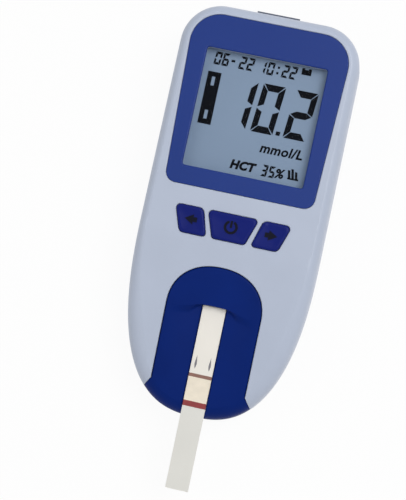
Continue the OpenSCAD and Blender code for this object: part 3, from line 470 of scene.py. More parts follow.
def finish(name, rgb, rough=0.45, metal=0.0, mottle=0.05, grain=3000.0, bump=0.1, wear=0.12, coat=0.0,
           alpha=1.0, stretch=(1, 1, 1), specular=0.5, patch=60.0):
    """A material with slow colour drift, fine grain in its gloss and relief, and paler worn edges."""
    material, tree, shader = new_material(name)
    base = linear(rgb)
    places = tree.nodes.new("ShaderNodeTexCoord").outputs["Object"]
    scaled = tree.nodes.new("ShaderNodeMapping")
    scaled.inputs["Scale"].default_value = stretch
    tree.links.new(places, scaled.inputs["Vector"])
    drift = noise(tree, places, patch)
    fine = noise(tree, scaled.outputs["Vector"], grain, 2.0)
    dark = tuple(c * (1 - mottle) for c in base) + (1.0,)
    light = tuple(min(1.0, c * (1 + mottle)) for c in base) + (1.0,)
    colour = mix(tree, ramp(tree, drift, 0.3, 0.7, 0, 1), dark, light)
    if wear:
        edge = tree.nodes.new("ShaderNodeNewGeometry").outputs["Pointiness"]
        worn = tuple(min(1.0, c * 1.25 + 0.04) for c in base) + (1.0,)
        colour = mix(tree, ramp(tree, edge, 0.52, 0.6, 0, wear), colour, worn)
    tree.links.new(colour, shader.inputs["Base Color"])
    shader.inputs["Base Color"].default_value = base + (1.0,)
    tree.links.new(ramp(tree, fine, 0.25, 0.75, rough - 0.05, rough + 0.07), shader.inputs["Roughness"])
    relief = tree.nodes.new("ShaderNodeBump")
    relief.inputs["Strength"].default_value = bump
    relief.inputs["Distance"].default_value = RELIEF
    tree.links.new(fine, relief.inputs["Height"])
    tree.links.new(relief.outputs["Normal"], shader.inputs["Normal"])
    shader.inputs["Metallic"].default_value = metal
    shader.inputs["Alpha"].default_value = alpha
    shader.inputs["Coat Weight"].default_value = coat
    shader.inputs["Coat Roughness"].default_value = 0.12
    shader.inputs["Specular IOR Level"].default_value = specular
    return material


SHELL = finish("shell_plastic", (178, 187, 205), 0.38, mottle=0.025, grain=2600, bump=0.12, wear=0.0,
               specular=0.35)
PANEL = finish("window_acrylic", (14, 17, 26), 0.12, mottle=0.02, grain=900, bump=0.01, wear=0.0, alpha=0.03,
               specular=0.3)
BORDER = finish("border_print", (37, 60, 131), 0.32, mottle=0.03, grain=1800, bump=0.01, wear=0.0,
                specular=0.12, patch=40)
LCD = finish("lcd_plate", (133, 153, 178), 0.3, mottle=0.03, grain=5000, bump=0.02, wear=0.0,
             specular=0.15, patch=30)
INK = finish("lcd_ink", (5, 8, 15), 0.5, specular=0.05, mottle=0.2, grain=4000, bump=0.02, wear=0.0)
REFLECTOR = finish("reflector_foil", (225, 226, 222), 0.4, mottle=0.03)
LIGHT_PLASTIC = finish("light_plastic", (214, 214, 208), 0.5, mottle=0.03)
ZEBRA = finish("zebra_rubber", (60, 58, 60), 0.6, mottle=0.5, grain=9000, stretch=(1, 0.02, 0.02), patch=2000)
KEYPAD = finish("keypad_silicone", (66, 82, 150), 0.6, mottle=0.04, bump=0.08)
KEYS = finish("key_plastic", (7, 23, 104), 0.4, mottle=0.07, grain=2400, wear=0.3, specular=0.12, patch=90)
ICON = finish("key_ink", (4, 6, 24), 0.5, specular=0.1, mottle=0.2, wear=0.0)
CARBON = finish("carbon_pill", (22, 22, 24), 0.7, mottle=0.2)
BOARD = finish("board_mask", (22, 92, 52), 0.35, mottle=0.12, grain=1200, bump=0.15, patch=400)
GOLD = finish("gold_plate", (214, 172, 84), 0.28, metal=1.0, mottle=0.05)
BLACK = finish("black_moulding", (26, 27, 29), 0.45, mottle=0.15)
CAN = finish("metal_can", (190, 191, 194), 0.3, metal=1.0, mottle=0.04, stretch=(1, 0.05, 1))
STEEL = finish("sprung_steel", (180, 182, 186), 0.3, metal=1.0, mottle=0.06, grain=5000, stretch=(1, 1, 0.05))
RUBBER = finish("port_rubber", (78, 85, 103), 0.62, mottle=0.06, grain=2200, bump=0.25)
CLEAR = finish("clear_plate", (214, 222, 232), 0.1, alpha=0.35, mottle=0.02)
DARK_CLEAR = finish("lamp_epoxy", (120, 128, 120), 0.15, alpha=0.7, mottle=0.04)
TRAY = finish("tray_plastic", (4, 33, 105), 0.46, mottle=0.08, grain=2200, bump=0.12, wear=0.0,
              specular=0.07, patch=70)
STRIP = finish("strip_plastic", (235, 233, 226), mottle=0.015, grain=1500, bump=0.04, wear=0.05, specular=0.2)
FILM = finish("strip_film", (236, 232, 224), 0.55, mottle=0.02, grain=7000, bump=0.15, wear=0.0,
              stretch=(1, 0.3, 1), specular=0.2)
HANDLE = finish("strip_handle", (222, 221, 215), 0.55, mottle=0.02, grain=2500, bump=0.06, wear=0.0,
                specular=0.2)
PEACH = finish("strip_peach", (237, 227, 209), 0.55, mottle=0.04, grain=5000, bump=0.08, wear=0.0,
               specular=0.2, patch=500)
RED = finish("strip_red", (132, 44, 46), 0.5, mottle=0.1, grain=6000, wear=0.0, patch=500)
BROWN = finish("strip_brown", (134, 96, 84), 0.5, mottle=0.1, grain=6000, wear=0.0, patch=500)
MARK = finish("strip_mark", (120, 118, 124), 0.5, mottle=0.1, wear=0.0)
PAD = finish("reagent_paper", (240, 228, 190), 0.8, mottle=0.06, grain=6000, bump=0.3, wear=0.0)
CELL = finish("cell_sleeve", (52, 58, 66), 0.3, mottle=0.05, wear=0.1, coat=0.4)
COPPER = finish("cell_band", (188, 122, 66), 0.28, metal=1.0, mottle=0.05)

CAD_FINISH = {
    "display_window": PANEL, "window_border": BORDER, "lcd_glass": LCD, "lcd_segments": INK,
    "lcd_reflector": REFLECTOR, "lcd_frame": LIGHT_PLASTIC, "zebra_strip": ZEBRA, "keypad_mat": KEYPAD,
    "dome_left": KEYPAD, "dome_menu": KEYPAD, "dome_right": KEYPAD, "pill_left": CARBON,
    "pill_menu": CARBON, "pill_right": CARBON, "main_board": BOARD, "contact_pads": GOLD,
    "processor_chip": BLACK, "memory_chip": BLACK, "crystal": CAN, "capacitors": CAN, "buzzer": BLACK,
    "data_socket": STEEL, "socket_contacts": BLACK, "port_cover": RUBBER, "board_header": BLACK,
    "header_pins": GOLD, "sensor_board": BOARD, "optical_block": BLACK, "optical_window": CLEAR,
    "read_lamps": DARK_CLEAR, "photodiode": DARK_CLEAR, "strip_base": STRIP, "strip_film": FILM,
    "reagent_pad": PAD, "battery_cover": SHELL, "batteries": CELL, "battery_contacts": STEEL,
    "battery_springs": STEEL, "case_screws": STEEL, "board_screws": STEEL,
    "front_shell": SHELL, "rear_shell": SHELL, "strip_holder": TRAY,
    "key_left": KEYS, "key_menu": KEYS, "key_right": KEYS,
}


# Shells
# Round at the edge of an opening: growth of its outline, and depth under the face
LIP = [(0.0, 0.42), (0.03, 0.26), (0.1, 0.13), (0.21, 0.045), (0.36, 0.0), (0.42, -0.2)]
# Groove along the seam: inset, and height from the seam
GROOVE = [(0.3, 0.0), (0.2, 0.1), (0.06, 0.2), (0.0, 0.42)]
ABOVE = FACE_Z + 8  # top of the cutters that open the face
MOUTH_DEPTH = 1.5  # how deep the shell's inside leaves the tray's opening to its outside


def lipped_cutter(name, outline, surface, z0, k=1.0):
    """A cutter whose sides flare out in a small round where they leave the face."""
    build = Build()
    rings = [[(x, y, z0) for x, y in outline(0.0)]]
    for grow, depth in LIP:
        rings.append([(x, y, surface(x, y) - depth * k) for x, y in outline(grow * k)])
    rings.append([(x, y, ABOVE) for x, y in outline(LIP[-1][0] * k)])
    build.loft(rings)
    return new_object(name, build.mesh(name))


def block(name, outline, z0, z1):
    build = Build()
    build.prism(outline, z0, z1)
    return new_object(name, build.mesh(name))


def flat_face(x, y):
    return FACE_Z


def tray_face(x, y):
    return face_at(y)


def back_face(x, y):
    return back_at(y)


def skin_mesh(name, rings_out, rings_in):
    """The closed outside layer of a shell, from rings outside and rings inside it."""
    build = Build()
    outer = build.loft(rings_out, low=None, high="ladder")
    inner = build.loft(rings_in, low=None, high="ladder")
    build.bridge(outer[0], inner[0])
    return build.mesh(name)


def seam_rings(turn):
    """Rings of the fine groove where the two halves of the case meet; turn is 1 above it and -1 below."""
    return [flat_ring(inset, SEAM_Z + turn * rise) for inset, rise in GROOVE]


def body_solid(name, rings):
    build = Build()
    build.loft(rings, low="ladder", high="ladder")
    return new_object(name, build.mesh(name))


def upper_rings(g, z=SEAM_Z):
    rings = [flat_ring(g, z)] + [face_ring(g, a) for a in ROUND_STEPS]
    return rings + [plateau_ring(g, CREST * k / 4) for k in (1, 2, 3, 4)]


def lower_rings(g, z=SEAM_Z):
    return [flat_ring(g, z)] + [back_ring(g, a) for a in ROUND_STEPS]


def disc(x, y, r, n=40):
    return [(x + r * math.cos(2 * math.pi * i / n), y + r * math.sin(2 * math.pi * i / n)) for i in range(n)]


def port_cutter(fit=0.14, corner_r=0.5, reach=3):
    """Opens the top end for the port cover, with that gap round it."""
    low, high = frame_box("port_cover")
    hw, foot, top = high[0] + fit, low[2] - fit, high[2] + fit
    shape = rounded([(-hw, foot), (hw, foot), (hw, top), (-hw, top)], [corner_r] * 4, 4)
    build = Build()
    build.loft([[(x, y, z) for x, z in shape] for y in (TOP_Y - reach, TOP_Y + reach)])
    return new_object("cut_port", build.mesh("cut_port"))


def front_case():
    rings = seam_rings(1) + upper_rings(0.0)[1:]
    skin = new_object("front_case", skin_mesh("front_case", rings, upper_rings(SKIN)))
    root = SEAM_Z + 4
    tools = [lipped_cutter("cut_window", lambda g: window_shape(WINDOW_FIT + g), flat_face, root, 0.7)]
    for side in (-1, 0, 1):
        tools.append(lipped_cutter(f"cut_key{side}", lambda g, s=side: key_shape(s, VISIBLE_FIT + g),
                                   flat_face, root, 0.6))
    tools.append(lipped_cutter("cut_tray", lambda g: tray_shape(VISIBLE_FIT + g), tray_face, SEAM_Z - 2, 0.8))
    tools.append(port_cutter())
    carve(skin, tools)
    limit = body_solid("front_limit", upper_rings(SKIN - OVERLAP, SEAM_Z - 1))
    core = carve(welded_copy("front_shell", "front_inside"), [limit], "INTERSECT")
    mouth = Build()
    outline = tray_shape(VISIBLE_FIT + 0.05)
    mouth.loft([[(x, y, face_at(y) - MOUTH_DEPTH) for x, y in outline], [(x, y, ABOVE) for x, y in outline]])
    carve(core, [new_object("cut_mouth", mouth.mesh("cut_mouth"))])
    piece(core, "housing", SHELL, (), INSIDE_ANGLE)
    piece(skin, "housing", SHELL, ["front_shell"], surfaces=(tray_face,))


def frame_box(node):
    low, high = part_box(node)
    return tuple(c / MM for c in low), tuple(c / MM for c in high)


def rear_case():
    rings = seam_rings(-1) + lower_rings(0.0)[1:]
    skin = new_object("rear_case", skin_mesh("rear_case", rings, lower_rings(SKIN)))
    _, high = frame_box("battery_cover")
    seat = panel_shape(high[0] + SEAT_FIT, SEAT_FOOT, high[1] + SEAT_FIT, SEAT_R, 8)
    tools = [block("cut_door", seat, -1, 3)]
    for x, y in SCREWS:
        tools.append(block("cut_screw", disc(x, y, SCREW_HOLE_R), -1, 3))
    field = panel_shape(FIELD_HW, HOOD_Y - 5, ARCH_Y + 4, SEAT_R, 8)
    tools.append(block("cut_field", field, -1, FIELD_DEPTH))
    carve(skin, tools)
    limit = body_solid("rear_limit", [flat_ring(SKIN - OVERLAP, LIP_TOP)] + lower_rings(SKIN - OVERLAP))
    core = carve(welded_copy("rear_shell", "rear_inside"), [limit], "INTERSECT")
    piece(core, "housing", SHELL, (), INSIDE_ANGLE)
    piece(skin, "housing", SHELL, ["rear_shell"], surfaces=(back_face,), up=-1)


# Display
# Growth of the outline, and depth under the face, of the rings at each edge
PANEL_EDGE = [(0.09, 0.26), (0.06, 0.14), (-0.01, 0.055), (-0.1, 0.012), (-0.2, 0.0)]
BORDER_EDGE = [(0.08, 0.28), (0.05, 0.16), (-0.02, 0.075), (-0.11, 0.032), (-0.21, 0.02)]
VIEW_EDGE = [(0.0, 0.5), (0.05, 0.3), (0.2, 0.12), (0.5, 0.02), (0.7, -0.5)]


def edged(name, outline, z0, edge):
    """A plate from z0 to the face, with that outline and edge."""
    rings = [[(x, y, z0) for x, y in outline(edge[0][0])]]
    for grow, drop in edge:
        rings.append([(x, y, FACE_Z - drop) for x, y in outline(grow)])
    build = Build()
    build.loft(rings)
    return new_object(name, build.mesh(name))


def display():
    """The clear panel, and the border printed round the view, just under the panel's face."""
    panel = edged("window_panel", window_shape, PANEL_Z, PANEL_EDGE)
    piece(panel, "housing", PANEL, ["display_window"])
    border = edged("printed_border", window_shape, FACE_Z - BORDER_T, BORDER_EDGE)
    carve(border, [edged("cut_view", view_shape, PANEL_Z, VIEW_EDGE)])
    piece(border, "housing", BORDER, ["window_border"])


# The bars of each figure: top, upper left, upper right, middle, lower left, lower right, foot
FIGURES = {"0": "1110111", "1": "0010010", "2": "1011101", "3": "1011011", "5": "1101011", "6": "1101111"}


def figure_bars(h, w, flat_t, side_t):
    """The seven bars of a figure as outlines with slanted ends and narrow gaps between them."""
    e, m = 0.06 * flat_t, h / 2
    top = [(2 * e, h), (w - 2 * e, h), (w - side_t - e, h - flat_t), (side_t + e, h - flat_t)]
    upper = [(0, h - 2 * e), (side_t, h - flat_t - e), (side_t, m + flat_t / 2 + e), (0, m + 2 * e)]
    half = [(2 * e, m), (side_t + e, m + flat_t / 2)]
    middle = half + [(w - x, y) for x, y in half[::-1]]
    middle += [(x, h - y) for x, y in middle[2:1:-1] + half[:0:-1]]
    lower = [(x, h - y) for x, y in upper]
    foot = [(x, h - y) for x, y in top]
    return [top, upper, [(w - x, y) for x, y in upper], middle, lower, [(w - x, y) for x, y in lower], foot]


def draw_figure(build, text, x, y, size, step, lean):
    """Figures of a size (height, width, thickness of level and of upright bars), a step apart."""
    bars = figure_bars(*size)
    for i, sign in enumerate(text):
        for bar, lit in zip(bars, FIGURES[sign]):
            if lit == "1":
                shape = [(x + i * step + px + lean * py, y + py) for px, py in bar]
                build.prism(shape, GLASS_TOP - SEGMENT_T, GLASS_TOP)


def draw_block(build, x0, y0, w, h, lean=0.0):
    shape = [(x0, y0), (x0 + w, y0), (x0 + w + lean * h, y0 + h), (x0 + lean * h, y0 + h)]
    build.prism(shape, GLASS_TOP - SEGMENT_T, GLASS_TOP)


def letters(name, text, x, y, size, weight):
    """Generic lettering of the display, as a thin solid."""
    curve = bpy.data.curves.new(name, "FONT")
    curve.body = text
    curve.size = size * MM
    curve.shear = 0.18
    curve.offset = weight * MM
    curve.extrude = SEGMENT_T / 2 * MM
    curve.space_character = 1.06
    curve.resolution_u = 3
    obj = new_object(name, curve)
    obj.location = (x * MM, y * MM, (GLASS_TOP - SEGMENT_T / 2) * MM)
    mesh = evaluated(obj)
    mesh.transform(obj.matrix_world)
    bpy.data.objects.remove(obj)
    return new_object(name, mesh)


def display_figures():
    build = Build()
    # the reading
    large, lean = (15.3, 7.0, 2.1, 1.8), 0.08
    for sign, x in (("1", -9.5), ("0", -0.9), ("2", 9.3)):
        draw_figure(build, sign, x, 26.55, large, 0, lean)
    draw_block(build, 7.0, 26.8, 1.3, 1.25, lean)
    # date and time
    small, step, lean = (4.0, 2.05, 0.7, 0.6), 2.45, 0.09
    draw_figure(build, "06", -16.4, 44.7, small, step, lean)
    draw_block(build, -11.0, 46.35, 1.15, 0.7)
    draw_figure(build, "22", -8.6, 44.7, small, step, lean)
    draw_figure(build, "10", -2.4, 44.65, small, step + 0.15, lean)
    draw_block(build, 3.3, 45.35, 0.65, 0.7)
    draw_block(build, 3.45, 47.1, 0.65, 0.7)
    draw_figure(build, "22", 4.85, 44.7, small, step, lean)
    # cell sign
    draw_block(build, 10.9, 46.8, 3.0, 1.6)
    draw_block(build, 10.9, 48.4, 0.9, 0.45)
    draw_block(build, 13.0, 48.4, 0.9, 0.45)
    # the strip's sign, with two openings
    left, right, foot, top = -17.35, -13.2, 25.9, 42.3
    draw_block(build, left, foot, 1.5, top - foot)
    draw_block(build, right - 1.6, foot, 1.6, top - foot)
    for y0, y1 in ((foot, 27.5), (30.3, 38.0), (40.8, top)):
        draw_block(build, left + 1.5, y0, right - left - 3.1, y1 - y0)
    # the lower reading
    draw_figure(build, "35", 5.0, 13.65, (3.6, 1.85, 0.68, 0.6), 2.3, 0.09)
    for x, height in ((13.6, 2.5), (14.7, 3.0), (15.8, 2.3)):
        draw_block(build, x, 14.6, 0.75, height, -0.2)
    draw_block(build, 13.4, 14.3, 3.4, 0.5)
    figures = new_object("lcd_figures", build.mesh("lcd_figures"))
    words = [letters("unit_word", "mmol/L", 3.2, 20.85, 4.1, 0.12),
             letters("ratio_word", "HCT", -4.7, 14.3, 3.6, 0.2),
             letters("percent_sign", "%", 9.3, 14.1, 3.9, 0.13)]
    join(figures, *words)
    piece(figures, "housing", INK, ["lcd_segments"])


# Keys
# Inset and depth under the top of the rings at a key's edge
KEY_EDGE = [(0.0, 0.62), (0.04, 0.4), (0.14, 0.2), (0.3, 0.07), (0.5, 0.01), (0.75, 0.0)]
KEY_DISH, FLANGE_REACH = 0.22, 0.15
ICON_DROP, ICON_T = 0.13, 0.2


def key_cap(side, name, node, body):
    build = Build()
    outline = key_shape(side, 0.0)
    cx = sum(p[0] for p in outline) / len(outline)
    cy = (KEY_Y + KEY_FOOT) / 2
    rings = [[(x, y, KEY_BASE) for x, y in outline]]
    for inset, drop in KEY_EDGE:
        rings.append([(x, y, KEY_TOP - drop) for x, y in key_shape(side, -inset)])
    rim = key_shape(side, -KEY_EDGE[-1][0])
    for k in (0.9, 0.78, 0.62, 0.42, 0.2):
        dish = KEY_DISH * (1 - k * k)
        rings.append([(cx + (x - cx) * k, cy + (y - cy) * k, KEY_TOP - dish) for x, y in rim])
    build.loft(rings)
    build.prism(key_shape(side, KEY_FIT + FLANGE_REACH), KEY_BASE, KEY_BASE + FLANGE_T)
    build.prism(disc(key_x(side), cy, PILL_R), PILL_TOP, KEY_BASE + 0.3)
    piece(new_object(name, build.mesh(name)), body, KEYS, [node], 30)


def key_icon(name, shapes, body):
    """A dark printed sign in the dish of a key."""
    build = Build()
    top = KEY_TOP - ICON_DROP
    for shape in shapes:
        build.prism(shape, top - ICON_T, top)
    piece(new_object(name, build.mesh(name)), body, ICON, ())


def ring_sign(cx, cy, r, t, gap, n=40):
    """A ring open at the top, as a chain of blocks."""
    start, sweep = math.pi / 2 + gap, 2 * math.pi - 2 * gap
    turns = [start + sweep * i / n for i in range(n + 1)]
    inner, outer = [[(cx + k * math.cos(a), cy + k * math.sin(a)) for a in turns] for k in (r - t, r)]
    return [[inner[i], inner[i + 1], outer[i + 1], outer[i]] for i in range(n)]


def keys():
    for side, place in ((-1, "left"), (0, "menu"), (1, "right")):
        key_cap(side, "cap_" + place, "key_" + place, place + "_key")
    cy = (KEY_Y + KEY_FOOT) / 2 + 0.2
    x = key_x(1)
    arrow = [(x - 0.7, cy - 1.6), (x + 2.0, cy), (x - 0.7, cy + 1.6)]
    stem = [(x - 1.9, cy - 0.75), (x - 0.75, cy - 0.75), (x - 0.75, cy + 0.75), (x - 1.9, cy + 0.75)]
    key_icon("icon_right", [arrow, stem], "right_key")
    key_icon("icon_left", [[(-px, py) for px, py in shape] for shape in (arrow, stem)], "left_key")
    bar = [(-0.36, cy - 0.2), (0.36, cy - 0.2), (0.36, cy + 2.3), (-0.36, cy + 2.3)]
    key_icon("icon_menu", ring_sign(0, cy, 2.15, 0.8, 0.42) + [bar], "menu_key")


def domes():
    """The soft domes under the keys, each given a mesh of its own."""
    for side in ("left", "menu", "right"):
        dome = welded_copy("dome_" + side, "soft_dome_" + side)
        piece(dome, "housing", KEYPAD, ["dome_" + side])
        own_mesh(dome)


# Tray
WIDE = 40  # half the width of a cutter that is wider than the tray
LIGHT_HW, LIGHT_V0, LIGHT_V1 = 2.8, 2.55, 8.55  # hole for the light, along the strip's path
RIDGE_V0, RIDGE_V1 = -22.0, -4.5
TRAY_EDGE = [(0.0, 0.75), (0.05, 0.5), (0.16, 0.28), (0.34, 0.12), (0.6, 0.03), (0.9, 0.0)]


def tray_surface(x, y):
    """Height of the tray's top: a hood over the inner end, then a scoop on both sides of the strip."""
    plateau = face_at(y) - TRAY_SINK + 0.05
    inner, edge = CHANNEL_HW + 0.3, TRAY_HW - TRAY_RIM
    floor = min(strip_at(y) + CHANNEL_D, plateau - 0.02)
    across = min(max((abs(x) - inner) / (edge - inner), 0.0), 1.0)
    scoop = floor + (plateau - floor) * (across - 0.12 * math.sin(2 * math.pi * across) / math.pi)
    spread = smooth((abs(x) - CHANNEL_HW) / 4.0)
    crease = HOOD_Y - 2.2 * min(abs(x) / edge, 1.0) ** 2
    width = 0.5 + 2.4 * spread
    k = smooth((crease - y) / width)
    return plateau + (scoop - plateau) * k


def tray_plateau(x, y):
    return face_at(y) - TRAY_SINK


def sloped(name, hw, corners):
    """A bar straight across, whose outline is given along and above the strip's path."""
    build = Build()
    build.loft([[on_strip(x, v, w) for v, w in corners] for x in (-hw, hw)])
    return new_object(name, build.mesh(name))


def upright(name, hw, corners):
    """A bar straight across, whose outline is given in y and z."""
    build = Build()
    build.loft([[(x, y, z) for y, z in corners] for x in (-hw, hw)])
    return new_object(name, build.mesh(name))


def tray_block():
    """A block under the tray's surface, from a grid of heights."""
    build = Build()
    xs = [i * 0.25 for i in range(-98, 99)]
    ys = [*np.arange(-66.0, -35.0, 0.75), *np.linspace(-35.0, -26.0, 91), *np.arange(-25.25, -14.0, 0.75)]
    top = [[tray_surface(x, y) for x in xs] for y in ys]
    low = SEAM_Z - 2
    nx, ny = len(xs), len(ys)
    up = [build.ring([(x, y, top[j][i]) for i, x in enumerate(xs)]) for j, y in enumerate(ys)]
    down = [build.ring([(x, y, low) for x in xs]) for y in (ys[0], ys[-1])]
    for j in range(ny - 1):
        for i in range(nx - 1):
            build.faces.append((up[j][i], up[j][i + 1], up[j + 1][i + 1], up[j + 1][i]))
    for edge, base in ((up[0], down[0]), (up[-1], down[1])):
        for i in range(nx - 1):
            build.faces.append((edge[i], edge[i + 1], base[i + 1], base[i]))
    for i in (0, nx - 1):
        build.faces.append(tuple([up[j][i] for j in range(ny)] + [down[1][i], down[0][i]]))
    build.faces.append(tuple(down[0] + down[1][::-1]))
    return new_object("sample_tray", build.mesh("sample_tray"))


def tray_tools():
    """What is cut from the tray: its underside, the strip's channel, and the hole that the light passes."""
    c = math.cos(STRIP_TILT)
    outer_end = (APRON_Y - HOOD_Y) / c + 0.16
    inner_end = (ARCH_Y - 1.9 - HOOD_Y) / c + 0.4
    under = [on_strip(0, v, -TRAY_FLOOR)[1:] for v in (20.0, outer_end)]
    under += [(y, 0.0) for y, _ in under[::-1]]
    foot_z, rise = SEAM_Z + 0.1, math.tan(STRIP_TILT)
    foot = [(-80, foot_z - 16.5 * rise), (-40, foot_z + 23.5 * rise), (-40, 0), (-80, 0)]
    tools = [upright("cut_under", WIDE, under), upright("cut_foot", WIDE, foot)]
    for v1, w1 in ((inner_end, CHANNEL_D + 0.4), (0.0, 10.0)):
        tools.append(sloped("cut_channel", CHANNEL_HW, [(-60, 0.0), (v1, 0.0), (v1, w1), (-60, w1)]))
    light = [(LIGHT_V0, -4), (LIGHT_V1, -4), (LIGHT_V1, 0.1), (LIGHT_V0, 0.1)]
    tools.append(sloped("cut_light", LIGHT_HW, light))
    return tools


def sample_tray():
    tray = tray_block()
    sunk = [[(x, y, z - TRAY_SINK) for x, y, z in ring] for ring in upper_rings(0.0, SEAM_Z)]
    carve(tray, [body_solid("tray_limit", sunk), soft_tray_block()], "INTERSECT")
    carve(tray, tray_tools())
    ridges = Build()
    outline = [(RIDGE_V0, -0.6), (RIDGE_V1, -0.6), (RIDGE_V1, 0.4), (RIDGE_V0, 0.4)]
    for side in (-1, 1):
        ridges.loft([[on_strip(side * x, v, w) for v, w in outline] for x in (TRAY_HW - 0.1, TRAY_HW + 0.38)])
    join(tray, new_object("ridges", ridges.mesh("ridges")))
    piece(tray, "tray", TRAY, ["strip_holder"], 28, (tray_surface, tray_plateau))


def soft_tray_block():
    """The tray's outline as a block whose top edge is rounded along the face."""
    build = Build()
    rings = [[(x, y, SEAM_Z - 1) for x, y in tray_shape(0.0)]]
    for inset, drop in TRAY_EDGE:
        rings.append([(x, y, face_at(y) - TRAY_SINK - drop + 0.02) for x, y in tray_shape(-inset)])
    loop = build.loft(rings, high=None)[-1]
    # strips straight across, from the middle of the arch to the open end
    order = list(range(ARCH_N // 2, ARCH_N + 1 + SIDE_N + FLARE_N))
    for i, k in zip(order, order[1:]):
        a, b = (ARCH_N - i) % len(loop), (ARCH_N - k) % len(loop)
        if i == a:
            build.faces.append((loop[i], loop[k], loop[b]))
        else:
            build.faces.append((loop[i], loop[k], loop[b], loop[a]))
    return new_object("tray_outline", build.mesh("tray_outline"))


# Strip
def strip_field(name, outline, w0, w1, material, replaces=()):
    """A thin printed field on the strip, with its outline in plan."""
    c = math.cos(STRIP_TILT)
    build = Build()
    build.loft([[on_strip(x, (y - HOOD_Y) / c, w) for x, y in outline] for w in (w0, w1)])
    piece(new_object(name, build.mesh(name)), "test_strip", material, replaces)


def strip_band(name, y0, y1, w0, w1, material, replaces=()):
    """A field right across the strip."""
    hw = STRIP_HW - 0.02
    strip_field(name, [(-hw, y0), (hw, y0), (hw, y1), (-hw, y1)], w0, w1, material, replaces)


def strip_prints():
    top = STRIP_T + FILM_T
    strip_band("film_layer", -57.5, HOOD_Y - 0.3, STRIP_T, top, FILM, ["strip_film"])
    strip_band("strip_zone", -58.3, -50.7, STRIP_T, top + 0.01, PEACH)
    strip_band("strip_line_upper", -50.8, -49.75, STRIP_T, top + 0.02, BROWN)
    strip_band("strip_line_lower", -59.95, -58.25, STRIP_T, top + 0.02, RED)
    strip_band("strip_grip", -85.8, -59.95, STRIP_T, STRIP_T + 0.05, HANDLE)
    flame = [(0.0, -48.3), (0.22, -47.6), (0.36, -46.7), (0.27, -45.9), (0.13, -45.0), (0.0, -44.0)]
    flame += [(-x, y) for x, y in flame[-2:0:-1]]
    for side, name in ((-1, "strip_mark_left"), (1, "strip_mark_right")):
        strip_field(name, [(side * 2.2 + x, y) for x, y in flame], top, top + 0.015, MARK)


# Inside and underside
SOFT_EDGES = {"battery_cover": 0.25, "port_cover": 0.3, "data_socket": 0.1, "case_screws": 0.12,
              "board_screws": 0.1, "optical_block": 0.2, "buzzer": 0.2, "lcd_frame": 0.15}
CELL_L = 44.5


def soften(node, width, segments=2):
    """Rounds the edges of a CAD node as moulding does, with modifiers only."""
    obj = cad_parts[node]
    weld = obj.modifiers.new("weld", "WELD")
    weld.merge_threshold = 1e-7
    bevel = obj.modifiers.new("bevel", "BEVEL")
    bevel.width = width * MM
    bevel.segments = segments
    bevel.limit_method = "ANGLE"
    bevel.angle_limit = math.radians(40)
    weigh = obj.modifiers.new("weighted", "WEIGHTED_NORMAL")
    weigh.weight = 100


def dress_cad():
    for name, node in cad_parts.items():
        node.data.materials.clear()
        node.data.materials.append(CAD_FINISH[name])
        for face in node.data.polygons:
            face.material_index = 0
    for name, width in SOFT_EDGES.items():
        soften(name, width)


def cells():
    """Three AAA cells with sleeve, band, crimped ends and button."""
    low, high = frame_box("batteries")
    r = (high[2] - low[2]) / 2
    cz = (high[2] + low[2]) / 2
    pitch = (high[0] - low[0] - 2 * r) / 2
    cx = (high[0] + low[0]) / 2
    sleeve, band, caps = Build(), Build(), Build()
    for i in (-1, 0, 1):
        y_plus = high[1] if i else low[1]
        turn = -1 if i else 1

        def place(a, b, h, x=cx + i * pitch, y=y_plus, d=turn):
            return (x + a, y + d * h, cz + b)

        sleeve.turned([(r - 0.5, 15.02), (r - 0.02, 15.02), (r - 0.02, CELL_L - 0.8),
                       (r - 0.3, CELL_L - 0.25), (r - 1.0, CELL_L - 0.1)], place)
        band.turned([(3.4, 1.05), (r - 0.9, 1.05), (r - 0.25, 1.3), (r - 0.02, 1.9), (r - 0.02, 15.0),
                     (r - 0.5, 15.01)], place)
        caps.turned([(0.6, 0.0), (1.6, 0.02), (1.88, 0.2), (1.9, 0.95), (2.3, 1.2), (3.6, 1.25)], place)
        caps.turned([(r - 1.1, CELL_L - 0.3), (r - 1.3, CELL_L), (0.5, CELL_L)], place)
    piece(new_object("cell_sleeves", sleeve.mesh("cell_sleeves")), "housing", CELL, ["batteries"])
    piece(new_object("cell_bands", band.mesh("cell_bands")), "housing", COPPER, ())
    piece(new_object("cell_ends", caps.mesh("cell_ends")), "housing", STEEL, ())


# Stage
FLOOR_GLOW = 0.93
SKY_LIGHT = 0.48


def seen_share(tree, scale, base):
    """base for the rays that light the scene, and base + scale for those that show it."""
    path = tree.nodes.new("ShaderNodeLightPath")
    value = path.outputs["Is Camera Ray"]
    for kind in ("Is Glossy Ray", "Is Transmission Ray"):
        either = tree.nodes.new("ShaderNodeMath")
        either.operation = "MAXIMUM"
        tree.links.new(value, either.inputs[0])
        tree.links.new(path.outputs[kind], either.inputs[1])
        value = either.outputs["Value"]
    share = tree.nodes.new("ShaderNodeMath")
    share.operation = "MULTIPLY_ADD"
    tree.links.new(value, share.inputs[0])
    share.inputs[1].default_value = scale
    share.inputs[2].default_value = base
    return share.outputs["Value"]


def floor_material():
    material, tree, shader = new_material("floor_paper")
    shader.inputs["Base Color"].default_value = (0.86, 0.86, 0.86, 1)
    shader.inputs["Roughness"].default_value = 0.9
    glow = tree.nodes.new("ShaderNodeEmission")
    glow.inputs["Strength"].default_value = 1.0
    both = tree.nodes.new("ShaderNodeMixShader")
    tree.links.new(seen_share(tree, FLOOR_GLOW, 0.0), both.inputs["Fac"])
    tree.links.new(shader.outputs["BSDF"], both.inputs[1])
    tree.links.new(glow.outputs["Emission"], both.inputs[2])
    tree.links.new(both.outputs["Shader"], tree.nodes["Material Output"].inputs["Surface"])
    return material


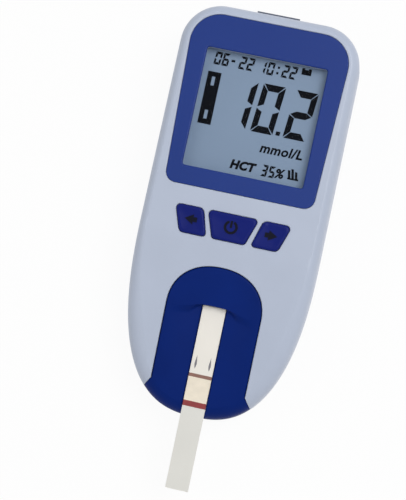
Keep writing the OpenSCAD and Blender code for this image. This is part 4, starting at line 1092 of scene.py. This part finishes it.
def set_stage():
    build = Build()
    outline = panel_shape(1500, -1500, 1500, 200, 6)
    build.loft([[(x, y, z) for x, y in outline] for z in (-20.0, -0.05)])
    floor = new_object("floor", build.mesh("floor"))
    floor.data.materials.append(floor_material())
    world = bpy.data.worlds.new("studio")
    world.use_nodes = True
    sky = world.node_tree.nodes["Background"]
    sky.inputs["Color"].default_value = (1, 1, 1, 1)
    world.node_tree.links.new(seen_share(world.node_tree, 1 - SKY_LIGHT, SKY_LIGHT), sky.inputs["Strength"])
    bpy.context.scene.world = world
    bpy.context.scene.view_settings.view_transform = "Standard"


def lamp(name, place, aim, size, watts):
    light = bpy.data.lights.new(name, "AREA")
    light.shape = "DISK"
    light.size = size
    light.energy = watts
    obj = bpy.data.objects.new(name, light)
    bpy.context.scene.collection.objects.link(obj)
    obj.location = Vector(place)
    obj.rotation_euler = (Vector(aim) - Vector(place)).to_track_quat("-Z", "Y").to_euler()


def light_scene():
    lamp("key_light", (0.42, 0.28, 0.95), (0, 0, 0.01), 0.7, 6.0)
    lamp("fill_light", (-0.7, -0.15, 0.8), (0, 0, 0.01), 0.7, 1.3)


VIEW_FROM = Vector((0.093, -0.043, 1.0)).normalized()
VIEW_AT = Vector((-6.88, -12.43, 24.0)) * MM
VIEW_DISTANCE = 0.401
VIEW_ROLL = 0.215
LENS = 95.0


def set_camera():
    data = bpy.data.cameras.new("camera")
    data.lens = LENS
    data.sensor_width = 36
    camera = bpy.data.objects.new("camera", data)
    bpy.context.scene.collection.objects.link(camera)
    hint = Vector((-math.sin(VIEW_ROLL), math.cos(VIEW_ROLL), 0))
    right = hint.cross(VIEW_FROM).normalized()
    up = VIEW_FROM.cross(right)
    turn = Matrix((right, up, VIEW_FROM)).transposed()
    camera.matrix_world = Matrix.Translation(VIEW_AT + VIEW_FROM * VIEW_DISTANCE) @ turn.to_4x4()
    bpy.context.scene.camera = camera


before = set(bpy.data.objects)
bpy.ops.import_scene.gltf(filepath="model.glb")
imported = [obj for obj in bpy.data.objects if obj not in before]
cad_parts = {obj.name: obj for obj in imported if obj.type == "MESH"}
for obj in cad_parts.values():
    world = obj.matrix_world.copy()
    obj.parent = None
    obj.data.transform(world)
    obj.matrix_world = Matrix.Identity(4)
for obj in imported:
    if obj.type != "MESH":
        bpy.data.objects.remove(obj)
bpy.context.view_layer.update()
dress_cad()
front_case()
rear_case()
display()
display_figures()
keys()
domes()
sample_tray()
strip_prints()
cells()
set_stage()
light_scene()
set_camera()
